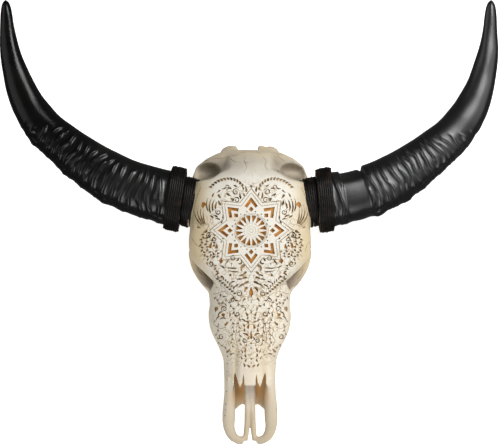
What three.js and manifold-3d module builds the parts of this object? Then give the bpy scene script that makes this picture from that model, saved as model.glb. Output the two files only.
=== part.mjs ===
// Carved water-buffalo skull with its two horns, without the lower jaw, lying at rest on its cheek teeth
// and on the two jugular processes behind. Millimetres.
// The bones are modelled in a face frame: X to the viewer's right, Y from the muzzle tip towards the back
// of the head, Z out of the forehead. The whole group is then tilted so that the skull rests on Z = 0.
import * as THREE from "three";
import Module from "manifold-3d";

const wasm = await Module();
wasm.setup();

// Driving sizes
const restTilt = THREE.MathUtils.degToRad(11); // forehead line against the floor, rising to the back
const seam = 0.3; // gap kept between neighbouring bones
const skullLength = 527; // muzzle tip to the back of the condyles
const foreheadHalf = 107; // half width of the forehead, over the eye sockets
const foreheadTop = 37; // crown of the forehead above the nose line
const muzzleHalf = 46; // half width of the muzzle behind the nostrils
const cheekHalf = 73; // half width across the facial tubers
const nasalTip = 106; // free end of the nasal bones
const frontSuture = 282; // where the forehead meets the nose and cheeks
const occiputSuture = 476; // where the forehead meets the back of the head
const neckSuture = 457; // the same seam on the underside, ahead of the jugular processes
const baseLevel = -72; // top of the skull base
const toothHeel = { y: 325, z: -150 }; // rear end of the chewing surface, on the floor
const hornTip = { x: 428, y: 780 }; // from the middle line and from the muzzle tip
const hornFlatness = 0.8; // depth over width at the horn's base
const hornSag = { left: 0, right: 8 }; // how much lower each horn bows in the middle
const hornTuck = { left: 0, right: 6 }; // how much nearer the middle line each tip is
const coreReach = 117; // bone core of the horn, from the middle line
const cordSize = 4.6; // thickness of the cord wound round the horns

// Small helpers

// A smooth, non-overshooting curve through a few [place, value] stations.
function through(stations) {
  const slopes = stations.map(([x, y], i) => {
    if (i === 0 || i === stations.length - 1) return 0;
    const before = (y - stations[i - 1][1]) / (x - stations[i - 1][0]);
    const after = (stations[i + 1][1] - y) / (stations[i + 1][0] - x);
    return before * after <= 0 ? 0 : (2 * before * after) / (before + after);
  });
  return (x) => {
    const last = stations.length - 1;
    if (x <= stations[0][0]) return stations[0][1];
    if (x >= stations[last][0]) return stations[last][1];
    const i = stations.findIndex(([place]) => place > x) - 1;
    const [x0, y0] = stations[i];
    const [x1, y1] = stations[i + 1];
    const span = x1 - x0;
    const t = (x - x0) / span;
    const rise = t * t * (3 - 2 * t);
    const bend0 = t * (1 - t) * (1 - t) * span * slopes[i];
    const bend1 = -t * t * (1 - t) * span * slopes[i + 1];
    return y0 + (y1 - y0) * rise + bend0 + bend1;
  };
}

const signedPower = (value, power) => Math.sign(value) * Math.abs(value) ** power;

// Closed solid from points and triangles, turned right side out.
function solidFrom(points, triangles) {
  const make = (order) =>
    new wasm.Manifold(
      new wasm.Mesh({
        numProp: 3,
        vertProperties: new Float32Array(points.flatMap((p) => [p.x, p.y, p.z])),
        triVerts: new Uint32Array(order),
      }),
    );
  const volume = triangles.reduce((sum, _, i) => {
    if (i % 3) return sum;
    const [a, b, c] = [0, 1, 2].map((k) => points[triangles[i + k]]);
    return sum + a.dot(new THREE.Vector3().crossVectors(b, c));
  }, 0);
  return make(volume < 0 ? triangles.toReversed() : triangles);
}

// Closed solid through a row of rings that all have the same number of points.
function loft(rings) {
  const sides = rings[0].length;
  const points = rings.flat();
  const triangles = [];
  for (let r = 0; r + 1 < rings.length; r++) {
    for (let s = 0; s < sides; s++) {
      const a = r * sides + s;
      const b = r * sides + ((s + 1) % sides);
      triangles.push(a, b, a + sides, b, b + sides, a + sides);
    }
  }
  for (const [ring, start, flip] of [
    [rings[0], 0, true],
    [rings.at(-1), (rings.length - 1) * sides, false],
  ]) {
    const middle = ring.reduce((sum, p) => sum.add(p), new THREE.Vector3()).divideScalar(sides);
    const hub = points.push(middle) - 1;
    for (let s = 0; s < sides; s++) {
      const pair = [start + s, start + ((s + 1) % sides)];
      triangles.push(...(flip ? pair.toReversed() : pair), hub);
    }
  }
  return solidFrom(points, triangles);
}

// Head section at one place along Y: a rounded outline with its own crown, widest level and floor.
const domePower = 2.2; // how full the rounding of a head section is, 2 being an ellipse
function headRing(y, { half, crown, level, floor, upper = domePower, lower = 2.6 }, sides, grow = 0) {
  const ring = [];
  for (let s = 0; s < sides; s++) {
    const angle = (2 * Math.PI * (s + 0.5)) / sides;
    const [c, d] = [Math.cos(angle), Math.sin(angle)];
    const power = 2 / (d > 0 ? upper : lower);
    const height = d > 0 ? crown - level : level - floor;
    const x = (half + grow) * signedPower(c, power);
    ring.push(new THREE.Vector3(x, y, level + (height + grow) * signedPower(d, power)));
  }
  return ring;
}

// Loft of head sections from y0 to y1, with the section's sizes given as functions of Y.
function headLoft(y0, y1, steps, sides, sizes, grow = 0) {
  const rings = [];
  for (let i = 0; i <= steps; i++) {
    const y = y0 + ((y1 - y0) * i) / steps;
    const here = Object.fromEntries(Object.entries(sizes).map(([k, f]) => [k, f(y)]));
    rings.push(headRing(y, here, sides, grow));
  }
  return loft(rings);
}

// Tube along a smooth path. The section has a radius across (level, square to the path) and one up.
function sweep(path, steps, sides, across, up, square = 2) {
  const curve = new THREE.CatmullRomCurve3(path.map((p) => new THREE.Vector3(...p)));
  const rings = [];
  for (let i = 0; i <= steps; i++) {
    const t = i / steps;
    const middle = curve.getPointAt(t);
    const ahead = curve.getTangentAt(t);
    const steep = Math.abs(ahead.z) > 0.8;
    const out = new THREE.Vector3(0, 0, 1).cross(ahead);
    if (steep) out.set(1, 0, 0).addScaledVector(ahead, -ahead.x);
    out.normalize();
    const rise = ahead.clone().cross(out).normalize();
    const ring = [];
    for (let s = 0; s < sides; s++) {
      const angle = (2 * Math.PI * s) / sides;
      const c = signedPower(Math.cos(angle), 2 / square);
      const d = signedPower(Math.sin(angle), 2 / square);
      const point = middle.clone().addScaledVector(out, across(t) * c);
      ring.push(point.addScaledVector(rise, up(t) * d));
    }
    rings.push(ring);
  }
  return loft(rings);
}

// Rounded lump; powers under 1 make its plan or its upright section squarer.
function ellipsoid([x, y, z], [a, b, c], sides = 20, power = 1, uprightPower = 1) {
  const rings = [];
  const levels = Math.round(sides / 2);
  for (let i = 0; i <= levels; i++) {
    const lean = -Math.PI / 2 + (Math.PI * (i + 0.15)) / (levels + 0.3);
    const ring = [];
    for (let s = 0; s < sides; s++) {
      const angle = (2 * Math.PI * s) / sides;
      const across = Math.cos(lean) ** uprightPower;
      const dx = a * across * signedPower(Math.cos(angle), power);
      const dy = b * across * signedPower(Math.sin(angle), power);
      ring.push(new THREE.Vector3(x + dx, y + dy, z + c * signedPower(Math.sin(lean), uprightPower)));
    }
    rings.push(ring);
  }
  return loft(rings);
}

// Upright prism over an outline in X and Y.
function prism(outline, low, high) {
  const drawn = outline.map(([x, y]) => new THREE.Vector2(x, y));
  const shape = THREE.ShapeUtils.isClockWise(drawn) ? drawn.toReversed() : drawn;
  const ring = (z) => shape.map(({ x, y }) => new THREE.Vector3(x, y, z));
  const count = shape.length;
  const points = [...ring(low), ...ring(high)];
  const triangles = [];
  for (let s = 0; s < count; s++) {
    const next = (s + 1) % count;
    triangles.push(s, next, s + count, next, next + count, s + count);
  }
  for (const [a, b, c] of THREE.ShapeUtils.triangulateShape(shape, [])) {
    triangles.push(a, c, b, a + count, b + count, c + count);
  }
  return solidFrom(points, triangles);
}

// Everything on the far side of a plane, as a large block: the side that the normal points to.
function halfSpace([x, y, z], [nx, ny, nz]) {
  const reach = 2000;
  const geometry = new THREE.BoxGeometry(reach, reach, reach).translate(0, 0, reach / 2);
  const turn = new THREE.Quaternion().setFromUnitVectors(
    new THREE.Vector3(0, 0, 1),
    new THREE.Vector3(nx, ny, nz).normalize(),
  );
  geometry.applyQuaternion(turn).translate(x, y, z);
  const corners = new Map();
  const points = [];
  const place = geometry.getAttribute("position");
  const merged = Array.from({ length: place.count }, (_, i) => {
    const p = new THREE.Vector3().fromBufferAttribute(place, i);
    const key = p.toArray().map(Math.round).join();
    if (!corners.has(key)) corners.set(key, points.push(p) - 1);
    return corners.get(key);
  });
  return solidFrom(points, Array.from(geometry.index.array, (i) => merged[i]));
}

const join = (...solids) => solids.reduce((sum, s) => sum.add(s));
const mirrored = ([x, y, z], side) => [side * x, y, z];
const both = (make) => join(make(-1), make(1));
const largest = (solid) => solid.decompose().sort((a, b) => b.volume() - a.volume())[0];

// The floor in the face frame: through the heel of the chewing surface, tilted.
const floorNormal = [0, -Math.sin(restTilt), -Math.cos(restTilt)];
const floorAt = (y) => toothHeel.z - Math.tan(restTilt) * (y - toothHeel.y);
const underFloor = halfSpace([0, toothHeel.y, toothHeel.z], floorNormal);

// Forehead: a broad dome, narrowing over the eyes towards the nose.
const foreheadSizes = {
  half: through([
    [246, 26],
    [270, 47],
    [290, 65],
    [310, 87],
    [332, foreheadHalf - 3],
    [352, foreheadHalf],
    [400, 103],
    [440, 100],
    [458, 95],
    [472, 74],
    [486, 40],
  ]),
  crown: through([
    [246, 4],
    [270, 13],
    [310, 23],
    [350, 31],
    [400, foreheadTop],
    [440, 34],
    [470, 22],
    [486, 6],
  ]),
  level: through([
    [246, -16],
    [310, -9],
    [352, -4],
    [400, -2],
    [450, -8],
    [486, -18],
  ]),
  floor: through([
    [246, -66],
    [330, -82],
    [420, -82],
    [486, -76],
  ]),
};
const forehead = (grow = 0) => headLoft(246, 486, 18, 30, foreheadSizes, grow);
function foreheadHeight(x, y) {
  const [half, crown, level] = ["half", "crown", "level"].map((size) => foreheadSizes[size](y));
  const share = Math.min(Math.abs(x) / half, 1) ** domePower;
  return level + (crown - level) * (1 - share) ** (1 / domePower);
}

// Brain case under and behind the forehead, sloping down to the neck.
const brainCaseSizes = {
  half: through([
    [330, 50],
    [390, 60],
    [450, 62],
    [500, 54],
    [514, 40],
  ]),
  crown: through([
    [330, 10],
    [440, 26],
    [470, 20],
    [494, 0],
    [514, -36],
  ]),
  level: through([
    [330, -60],
    [450, -52],
    [514, -85],
  ]),
  floor: through([
    [330, -122],
    [400, -128],
    [480, -142],
    [514, -138],
  ]),
};
const brainCase = (grow = 0) => headLoft(330, 514, 10, 20, brainCaseSizes, grow);

// Cheeks, nose and palate as one core, from the nostrils back to the eyes.
const faceSizes = {
  half: through([
    [62, 45],
    [100, 45],
    [147, muzzleHalf],
    [168, 53],
    [189, 64],
    [212, cheekHalf - 1],
    [232, cheekHalf],
    [250, 70],
    [268, 73],
    [345, 68],
  ]),
  crown: through([
    [62, -40],
    [85, -26],
    [nasalTip, 2],
    [140, 5],
    [200, 9],
    [270, 14],
    [345, 18],
  ]),
  level: through([
    [62, -50],
    [150, -44],
    [230, -50],
    [345, -60],
  ]),
  floor: through([
    [62, -60],
    [85, -72],
    [150, -89],
    [200, -104],
    [260, -120],
    [300, -130],
    [345, -126],
  ]),
  upper: () => 2.1,
  lower: () => 3,
};
const face = () => headLoft(62, 345, 20, 24, faceSizes);

// Ring of bone round the lower side of each eye socket, and the bar behind it under the temple.
function eyeRing(side) {
  const path = [
    [54, 262, -44],
    [68, 276, -58],
    [82, 294, -66],
    [93, 314, -68],
    [98, 335, -60],
    [98, 349, -38],
    [90, 352, -6],
  ];
  const thickness = (t) => 8 + 3 * Math.sin(Math.PI * t);
  return sweep(path.map((p) => mirrored(p, side)), 12, 10, thickness, thickness);
}

function cheekBar(side) {
  const path = [
    [93, 318, -72],
    [97, 350, -79],
    [96, 385, -84],
    [91, 420, -88],
    [80, 452, -92],
  ];
  const across = () => 6;
  const up = (t) => 12 - 2 * t;
  return sweep(path.map((p) => mirrored(p, side)), 10, 10, across, up);
}

const eyeSocket = (side) => ellipsoid([side * 99, 303, -36], [46, 36, 29], 14);

// Bone core of each horn, standing out of the forehead's rear corner up to the plane where the horn starts.
const hornRootAxis = [0.97, 0.24, -0.03];
const beyondCore = (side, gap) =>
  halfSpace(mirrored([coreReach + gap, 429, -28], side), mirrored(hornRootAxis, side));
const corePath = [
  [62, 417, -26],
  [90, 421, -27],
  [coreReach + 8, 431, -28],
];
function hornCore(side, grow = 0) {
  const wide = (t) => 42 - 3 * t + grow;
  const deep = (t) => 36 - 3 * t + grow;
  const stub = sweep(corePath.map((p) => mirrored(p, side)), 4, 16, wide, deep, 2.3);
  return stub.subtract(beyondCore(side, grow));
}

// Back of the head: a broad shell whose rim is the crest for the neck, hollowed behind the temples.
function occiput(grow = 0) {
  const shell = ellipsoid([0, 430, -80], [101 + grow, 90 + grow, 66 + grow], 22, 0.66, 0.8);
  const behindTemples = halfSpace([0, 444 - grow, 0], [0, 1, 0]);
  return shell.intersect(behindTemples);
}
const templeHollow = (side) => ellipsoid([side * 78, 480, -22], [28, 19, 48], 16);

// The knobs that carried the neck, and the tapering processes beside them that the skull rests on.
const condyle = (side) => ellipsoid([side * 35, 505, -112], [20, skullLength - 505, 31], 16);
function jugularProcess(side) {
  const path = [
    [66, 470, -96],
    [66, 478, -130],
    [61, 482, -162],
    [55, 480, -198],
  ];
  const wide = (t) => 30 - 24 * t ** 0.6;
  const deep = (t) => 20 - 15 * t ** 0.7;
  return sweep(path.map((p) => mirrored(p, side)), 7, 10, wide, deep);
}
const skullKeel = ellipsoid([0, 446, -138], [26, 50, 18], 12);
const earBulb = (side) => ellipsoid([side * 44, 434, -138], [14, 19, 19], 10);
const throatPlate = (side) => ellipsoid([side * 24, 366, -120], [6, 26, 24], 10);
const spinalHole = sweep(
  [
    [0, 480, -100],
    [0, 540, -108],
  ],
  1,
  16,
  () => 19,
  () => 17,
);

// Muzzle: a curved outer bar each side, and a slim bar along the middle of the palate.
function muzzleBar(side) {
  const path = [
    [12, 7, -54],
    [26, 10, -52],
    [36, 26, -50],
    [37, 58, -47],
    [35, 92, -42],
    [36, 124, -36],
  ];
  const wide = through([
    [0, 7],
    [0.2, 9],
    [0.45, 11.5],
    [1, 9],
  ]);
  const deep = through([
    [0, 7],
    [0.4, 9],
    [0.7, 15],
    [1, 26],
  ]);
  return sweep(path.map((p) => mirrored(p, side)), 14, 10, wide, deep);
}
function palateBar(side) {
  const path = [
    [8, 7, -55],
    [5.6, 34, -55],
    [4.9, 70, -57],
    [4.9, 140, -60],
  ];
  return sweep(path.map((p) => mirrored(p, side)), 8, 8, () => 4.6, () => 5.5);
}

// The nostril opening seen from the front, with the toothed free edge of the nasal bones.
const nostril = { half: 31, front: 60, shoulder: 98, notch: 122, prong: 102, slit: 122, floor: -63 };
function nostrilOutline() {
  const side = [
    [nostril.half, nostril.front],
    [nostril.half, nostril.shoulder],
    [25, nostril.notch],
    [17, nostril.prong],
    [11.5, nostril.slit],
    [10, nasalTip],
  ];
  return [...side, ...side.toReversed().map(([x, y]) => [-x, y])];
}
function noseCavity() {
  const sizes = {
    half: through([
      [70, 31],
      [130, 30],
      [205, 16],
    ]),
    crown: () => -7,
    level: () => -34,
    floor: () => nostril.floor,
    upper: () => 3,
    lower: () => 3.4,
  };
  return headLoft(70, 205, 6, 16, sizes);
}

// Cheek teeth: six a side, growing longer towards the back, cut level with the floor.
const teeth = { count: 6, first: 178, shortest: 16, growth: 3.3, width: 19, root: -94, gums: -88, gap: 0.6 };
function toothRow(side) {
  const crowns = [];
  let y = teeth.first;
  for (let i = 0; i < teeth.count; i++) {
    const length = teeth.shortest + teeth.growth * i;
    const x = 45 + 13 * Math.sin((Math.PI / 2) * ((y - teeth.first) / 150));
    const halfWidth = (teeth.width * (0.75 + 0.07 * i)) / 2;
    const outline = [];
    for (let k = 0; k < 12; k++) {
      const angle = (2 * Math.PI * (k + 0.5)) / 12;
      const lobes = 1 - 0.14 * Math.abs(Math.cos(angle)) ** 6;
      const across = halfWidth * lobes * signedPower(Math.cos(angle), 0.6);
      const along = (length / 2) * signedPower(Math.sin(angle), 0.6);
      outline.push([side * (x + across), y + length / 2 + along]);
    }
    crowns.push(prism(outline, floorAt(y + length) - 5, teeth.root));
    y += length + teeth.gap;
  }
  return join(...crowns);
}
const palateVault = ellipsoid([0, 245, -140], [36, 125, 32], 16);
const throatOpening = ellipsoid([0, 352, -112], [18, 34, 20], 12);

function wholeSkull() {
  const snout = face()
    .subtract(prism(nostrilOutline(), nostril.floor, 80))
    .subtract(noseCavity())
    .subtract(palateVault);
  const bones = join(
    snout,
    forehead(),
    brainCase(),
    occiput(),
    both(condyle),
    both(jugularProcess),
    both(earBulb),
    skullKeel,
  );
  return join(
    bones.subtract(both(eyeSocket)).subtract(both(templeHollow)).subtract(spinalHole),
    both(eyeRing),
    both(cheekBar),
    both(hornCore),
    both(throatPlate),
    both(muzzleBar),
    both(palateBar),
    both(toothRow),
  )
    .subtract(throatOpening)
    .subtract(carvedStar())
    .subtract(underFloor);
}

// The skull parted into its named bones by thin cuts along the seams.
function bonesOf(whole) {
  const bones = {};
  let rest = whole;
  const take = (name, inside, grown) => {
    bones[name] = largest(rest.intersect(inside));
    rest = rest.subtract(grown);
  };
  const nasalBlock = (side, grow) =>
    prism(
      [
        [side * (seam / 2 - grow), 90],
        [side * (27 + grow), 90],
        [side * (26 + grow), 200],
        [side * (20 + 1.4 * grow), 262],
        [side * (seam / 2 - grow), 288 + 3 * grow],
      ],
      -6 - grow,
      90,
    );
  const cheekBlock = (side, grow) => {
    const eyePart = [
      [side * (67 - grow), 250 - grow],
      [side * 130, 250 - grow],
      [side * 130, 360 + grow],
      [side * (82 - grow), 360 + grow],
      [side * (67 - grow), 300 + grow],
    ];
    const barPart = [
      [side * (82 - grow), 350],
      [side * 130, 350],
      [side * 130, 424 + grow],
      [side * (82 - grow), 424 + grow],
    ];
    return join(prism(eyePart, -130, -24 + grow), prism(barPart, -130, -70 + grow));
  };
  const muzzleCut = (grow) => halfSpace([0, 88 + grow, -75], [0, -1, 77 / 75]);
  const sideOf = (side) => halfSpace([(side * seam) / 2, 0, 0], [side, 0, 0]);
  for (const [word, side] of [
    ["left", -1],
    ["right", 1],
  ]) {
    take(`nasal_${word}`, nasalBlock(side, 0), nasalBlock(side, seam));
    take(`zygomatic_${word}`, cheekBlock(side, 0), cheekBlock(side, seam));
  }
  const muzzle = rest.intersect(muzzleCut(0));
  rest = rest.subtract(muzzleCut(seam));
  const snoutBlock = (grow) => {
    const behindTeeth = toothHeel.y + 12 + grow;
    const gumLine = [
      [-90, 200],
      [90, 200],
      [90, behindTeeth],
      [-90, behindTeeth],
    ];
    const nose = halfSpace([0, frontSuture + grow, 0], [0, -1, 0]);
    return nose.add(prism(gumLine, 2 * toothHeel.z, teeth.gums + grow));
  };
  const snout = rest.intersect(snoutBlock(0));
  rest = rest.subtract(snoutBlock(seam));
  for (const [word, side] of [
    ["left", -1],
    ["right", 1],
  ]) {
    bones[`premaxilla_${word}`] = largest(muzzle.intersect(sideOf(side)));
    bones[`maxilla_${word}`] = largest(snout.intersect(sideOf(side)));
  }
  const neckBlock = (grow) => {
    const back = halfSpace([0, occiputSuture - grow, 0], [0, 1, 0]);
    const underside = [
      [-110, neckSuture - grow],
      [110, neckSuture - grow],
      [110, skullLength],
      [-110, skullLength],
    ];
    return back.add(prism(underside, 2 * toothHeel.z, baseLevel - 20 + grow));
  };
  bones.occipital = largest(rest.intersect(neckBlock(0)));
  rest = rest.subtract(neckBlock(seam));
  bones.skull_base = largest(rest.intersect(halfSpace([0, 0, baseLevel - seam], [0, 0, -1])));
  bones.frontal = largest(rest.subtract(halfSpace([0, 0, baseLevel], [0, 0, -1])));
  return bones;
}

// Horn: a long tapering crescent, flat in front near its base and wrinkled across for half its length.
const wrinkles = { count: 20, depth: 2.4, start: 0.11, end: 0.6 };
const hornRadius = through([
  [0, 48],
  [0.15, 47],
  [0.28, 45],
  [0.4, 40],
  [0.5, 35.5],
  [0.6, 32],
  [0.7, 26],
  [0.8, 19.5],
  [0.9, 13.5],
  [0.97, 9],
  [1, 2.5],
]);
function hornPath(side) {
  const sag = side < 0 ? hornSag.left : hornSag.right;
  const tuck = side < 0 ? hornTuck.left : hornTuck.right;
  const stations = [
    [coreReach - 8, 427, -28],
    [167, 441, -30],
    [214, 456, -33],
    [262, 480, -37],
    [322, 523, -42],
    [357, 553, -44],
    [384, 588, -44],
    [402, 625, -42],
    [413, 659, -39],
    [421, 693, -34],
    [425, 724, -30],
    [hornTip.x, hornTip.y, -20],
  ];
  return stations.map(([x, y, z], i) => {
    const share = i / (stations.length - 1);
    const bow = Math.sin(Math.PI * share ** 0.65);
    return new THREE.Vector3(side * (x - tuck * share ** 3), y - sag * bow, z);
  });
}
function horn(side, grow = 0) {
  const curve = new THREE.CatmullRomCurve3(hornPath(side));
  const steps = wrinkles.count * 2;
  const sides = 14;
  const rings = [];
  for (let i = 0; i <= steps; i++) {
    const t = 1 - (1 - i / steps) ** 1.15;
    const radius = hornRadius(t);
    const flatness = hornFlatness + (0.96 - hornFlatness) * t;
    const square = 2.5 - 0.5 * t;
    const wrinkled = t > wrinkles.start && t < wrinkles.end;
    const fade = wrinkled ? (1 - t / wrinkles.end) ** 0.5 : 0;
    const fold = wrinkles.depth * fade * Math.cos(Math.PI * i);
    const middle = curve.getPointAt(t);
    const ahead = curve.getTangentAt(t);
    const out = new THREE.Vector3(0, 0, 1).cross(ahead).normalize();
    const rise = ahead.clone().cross(out);
    const ring = [];
    for (let s = 0; s < sides; s++) {
      const angle = (2 * Math.PI * s) / sides;
      const c = signedPower(Math.cos(angle), 2 / square);
      const d = signedPower(Math.sin(angle), 2 / square);
      const front = 0.35 + 0.65 * Math.max(0, Math.sin(angle));
      const reach = radius + fold * front;
      const point = middle.clone().addScaledVector(out, (reach + grow) * c);
      ring.push(point.addScaledVector(rise, (reach * flatness + grow) * d));
    }
    rings.push(ring);
  }
  return loft(rings).intersect(beyondCore(side, seam - grow));
}

// Cord wound round the horn's root in two bands: close turns round the bone core, thicker over the horn.
function cordBand(curve, from, to, wide, deep) {
  const turns = Math.round((to - from) / cordSize);
  const sides = 12;
  const rings = [];
  const ringAt = (along, grow) => {
    const t = along / curve.getLength();
    const middle = curve.getPointAt(t);
    const ahead = curve.getTangentAt(t);
    const out = new THREE.Vector3(0, 0, 1).cross(ahead).normalize();
    const rise = ahead.clone().cross(out);
    return Array.from({ length: sides }, (_, s) => {
      const angle = (2 * Math.PI * s) / sides;
      const c = signedPower(Math.cos(angle), 2 / 2.4);
      const d = signedPower(Math.sin(angle), 2 / 2.4);
      return middle
        .clone()
        .addScaledVector(out, (wide + grow) * c)
        .addScaledVector(rise, (deep + grow) * d);
    });
  };
  for (let i = 0; i < turns; i++) {
    const start = from + ((to - from) * i) / turns;
    rings.push(ringAt(start + 0.1, -0.35 * cordSize), ringAt(start + cordSize / 2, 0));
  }
  rings.push(ringAt(to, -0.35 * cordSize));
  return loft(rings);
}

const woundPath = (side) =>
  new THREE.CatmullRomCurve3([
    ...corePath.slice(0, 2).map((p) => new THREE.Vector3(...mirrored(p, side))),
    ...hornPath(side).slice(0, 4),
  ]);

function innerBand(side, skullGrown) {
  return cordBand(woundPath(side), 26, 51, 45, 39).subtract(skullGrown);
}
function outerBand(side, skullGrown, hornGrown) {
  return cordBand(woundPath(side), 51 + seam, 86, 55, 46)
    .subtract(skullGrown)
    .subtract(hornGrown);
}

// Carved star on the forehead: eight angled points, eight lozenges and a ring of rays, as shallow pockets.
const star = { x: 2, y: 377, points: 8, tip: 58, arm: 19, bar: 5.5, lozenge: 37, rays: 16, depth: 5 };
function pocket(outline, angle, radius) {
  const [c, d] = [Math.cos(angle), Math.sin(angle)];
  const placed = outline.map(([x, y]) => [
    star.x + (radius + y) * d + x * c,
    star.y + (radius + y) * c - x * d,
  ]);
  const floor = foreheadHeight(star.x + radius * d, star.y + radius * c) - star.depth;
  return prism(placed, floor, foreheadTop + star.depth);
}
function carvedStar() {
  const reach = star.arm * Math.SQRT1_2;
  const chevron = [
    [0, 0],
    [reach, -reach],
    [reach - star.bar, -reach],
    [0, -star.bar],
    [star.bar - reach, -reach],
    [-reach, -reach],
  ];
  const lozenge = [
    [0, 6],
    [4.4, 0],
    [0, -6],
    [-4.4, 0],
  ];
  const ray = [
    [3, 4.5],
    [0, -5],
    [-3, 4.5],
  ];
  const pockets = [];
  for (let i = 0; i < star.points; i++) {
    const angle = (2 * Math.PI * i) / star.points;
    pockets.push(pocket(chevron, angle, star.tip), pocket(lozenge, angle, star.lozenge));
  }
  for (let i = 0; i < star.rays; i++) {
    pockets.push(pocket(ray, (2 * Math.PI * (i + 0.5)) / star.rays, 20));
  }
  return join(...pockets);
}

// Looks
const finishes = {
  bone: new THREE.MeshStandardMaterial({ color: 0xe6ddcb, roughness: 0.7, metalness: 0 }),
  horn: new THREE.MeshStandardMaterial({ color: 0x0d0c0c, roughness: 0.3, metalness: 0 }),
  cord: new THREE.MeshStandardMaterial({ color: 0x100d0b, roughness: 0.75, metalness: 0 }),
};
function meshOf(name, solid, finish) {
  const { vertProperties, triVerts } = solid.getMesh();
  const geometry = new THREE.BufferGeometry();
  geometry.setAttribute("position", new THREE.BufferAttribute(vertProperties, 3));
  geometry.setIndex(new THREE.BufferAttribute(triVerts, 1));
  geometry.computeVertexNormals();
  const mesh = new THREE.Mesh(geometry, finish);
  mesh.name = name;
  return mesh;
}

// Assembly
const skull = new THREE.Group();
for (const [name, solid] of Object.entries(bonesOf(wholeSkull()))) {
  skull.add(meshOf(name, solid, finishes.bone));
}
for (const [word, side] of [
  ["left", -1],
  ["right", 1],
]) {
  const skullGrown = join(forehead(seam), brainCase(seam), occiput(seam), hornCore(side, seam));
  skull.add(meshOf(`horn_${word}`, horn(side), finishes.horn));
  skull.add(meshOf(`cord_inner_${word}`, largest(innerBand(side, skullGrown)), finishes.cord));
  skull.add(
    meshOf(`cord_outer_${word}`, largest(outerBand(side, skullGrown, horn(side, seam))), finishes.cord),
  );
}
skull.rotation.x = restTilt;
skull.updateMatrixWorld(true);

// The origin: on the floor, under the middle of the part's box.
const box = new THREE.Box3().setFromObject(skull, true);
skull.position.set(-(box.min.x + box.max.x) / 2, -(box.min.y + box.max.y) / 2, -box.min.z);
const part = new THREE.Group().add(skull);
export default part;
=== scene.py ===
import math

import bmesh
import bpy
import numpy as np
from mathutils import Matrix, Vector, noise
from mathutils.bvhtree import BVHTree


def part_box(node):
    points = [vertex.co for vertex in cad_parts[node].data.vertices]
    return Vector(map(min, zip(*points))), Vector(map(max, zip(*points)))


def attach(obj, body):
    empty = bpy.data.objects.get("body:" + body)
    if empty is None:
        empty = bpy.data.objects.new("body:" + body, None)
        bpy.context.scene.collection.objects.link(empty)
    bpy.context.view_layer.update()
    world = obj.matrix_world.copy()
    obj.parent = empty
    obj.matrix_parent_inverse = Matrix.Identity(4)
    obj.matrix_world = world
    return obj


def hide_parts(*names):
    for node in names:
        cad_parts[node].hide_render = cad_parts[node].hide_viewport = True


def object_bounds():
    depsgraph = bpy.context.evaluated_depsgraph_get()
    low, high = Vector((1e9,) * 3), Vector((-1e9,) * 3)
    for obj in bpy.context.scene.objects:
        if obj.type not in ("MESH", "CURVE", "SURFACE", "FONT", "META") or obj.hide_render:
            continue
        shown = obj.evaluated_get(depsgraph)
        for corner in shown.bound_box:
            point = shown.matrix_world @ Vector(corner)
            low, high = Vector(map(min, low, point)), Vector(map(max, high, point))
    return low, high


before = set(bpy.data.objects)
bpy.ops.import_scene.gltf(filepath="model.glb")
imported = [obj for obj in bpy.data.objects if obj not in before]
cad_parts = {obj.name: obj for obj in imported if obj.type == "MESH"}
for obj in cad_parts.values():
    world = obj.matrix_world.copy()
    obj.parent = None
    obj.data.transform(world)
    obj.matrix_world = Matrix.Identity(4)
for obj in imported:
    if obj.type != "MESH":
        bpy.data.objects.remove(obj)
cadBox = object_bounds()
scene = bpy.context.scene
print("frame loaded:", len(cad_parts), "solids")

# Pieces are shaped in a face frame in millimetres: u to the right, v from the muzzle tip to the back of the
# head, w out of the forehead. It lies tilted in the part's frame, because the skull rests on its cheek teeth.
# The heel is the end of the last tooth's chewing surface, on the floor. The setback, in metres, is how far the
# frame's zero lies in front of the part's box.
rest = dict(tilt=math.radians(11), heelV=325, heelW=-150, muzzleSetback=0.01045)
noseSeam = (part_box("nasal_left")[1].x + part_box("nasal_right")[0].x) / 2
faceOrigin = Vector((
    noseSeam,
    cadBox[0][1] - rest["muzzleSetback"],
    -(rest["heelV"] * math.sin(rest["tilt"]) + rest["heelW"] * math.cos(rest["tilt"])) / 1000,
))
faceToPart = Matrix.Translation(faceOrigin) @ Matrix.Rotation(rest["tilt"], 4, "X") @ Matrix.Scale(0.001, 4)


# helpers for meshes

def addPiece(name, mesh, material, nodes):
    mesh.transform(faceToPart)
    mesh.materials.clear()
    mesh.materials.append(material)
    piece = bpy.data.objects.new(name, mesh)
    scene.collection.objects.link(piece)
    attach(piece, "root")
    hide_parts(*nodes)
    print(name, "has", sum(len(p.vertices) - 2 for p in mesh.polygons), "triangles")


def scratchObject(bm, name):
    mesh = bpy.data.meshes.new(name)
    bm.to_mesh(mesh)
    bm.free()
    holder = bpy.data.objects.new(name, mesh)
    scene.collection.objects.link(holder)
    return holder


def baked(holder):  # the mesh with its modifiers applied
    depsgraph = bpy.context.evaluated_depsgraph_get()
    depsgraph.update()
    return bpy.data.meshes.new_from_object(holder.evaluated_get(depsgraph))


def dropObject(holder):
    mesh = holder.data
    bpy.data.objects.remove(holder)
    if mesh.users == 0:
        bpy.data.meshes.remove(mesh)


def pointsOf(mesh):
    flat = np.empty(len(mesh.vertices) * 3, np.float32)
    mesh.vertices.foreach_get("co", flat)
    return flat.reshape(-1, 3).astype(float)


def setShare(mesh, name, values):  # one number a vertex, for the materials
    layer = mesh.attributes.new(name, "FLOAT", "POINT")
    layer.data.foreach_set("value", np.asarray(values, np.float32))


def ramp(value, low, high):  # 0 to 1, eased
    t = np.clip((value - low) / (high - low), 0, 1)
    return t * t * (3 - 2 * t)


def fadeOut(value, end, length):  # 1, and 0 from the end on
    return ramp(end - value, 0, length)


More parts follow.
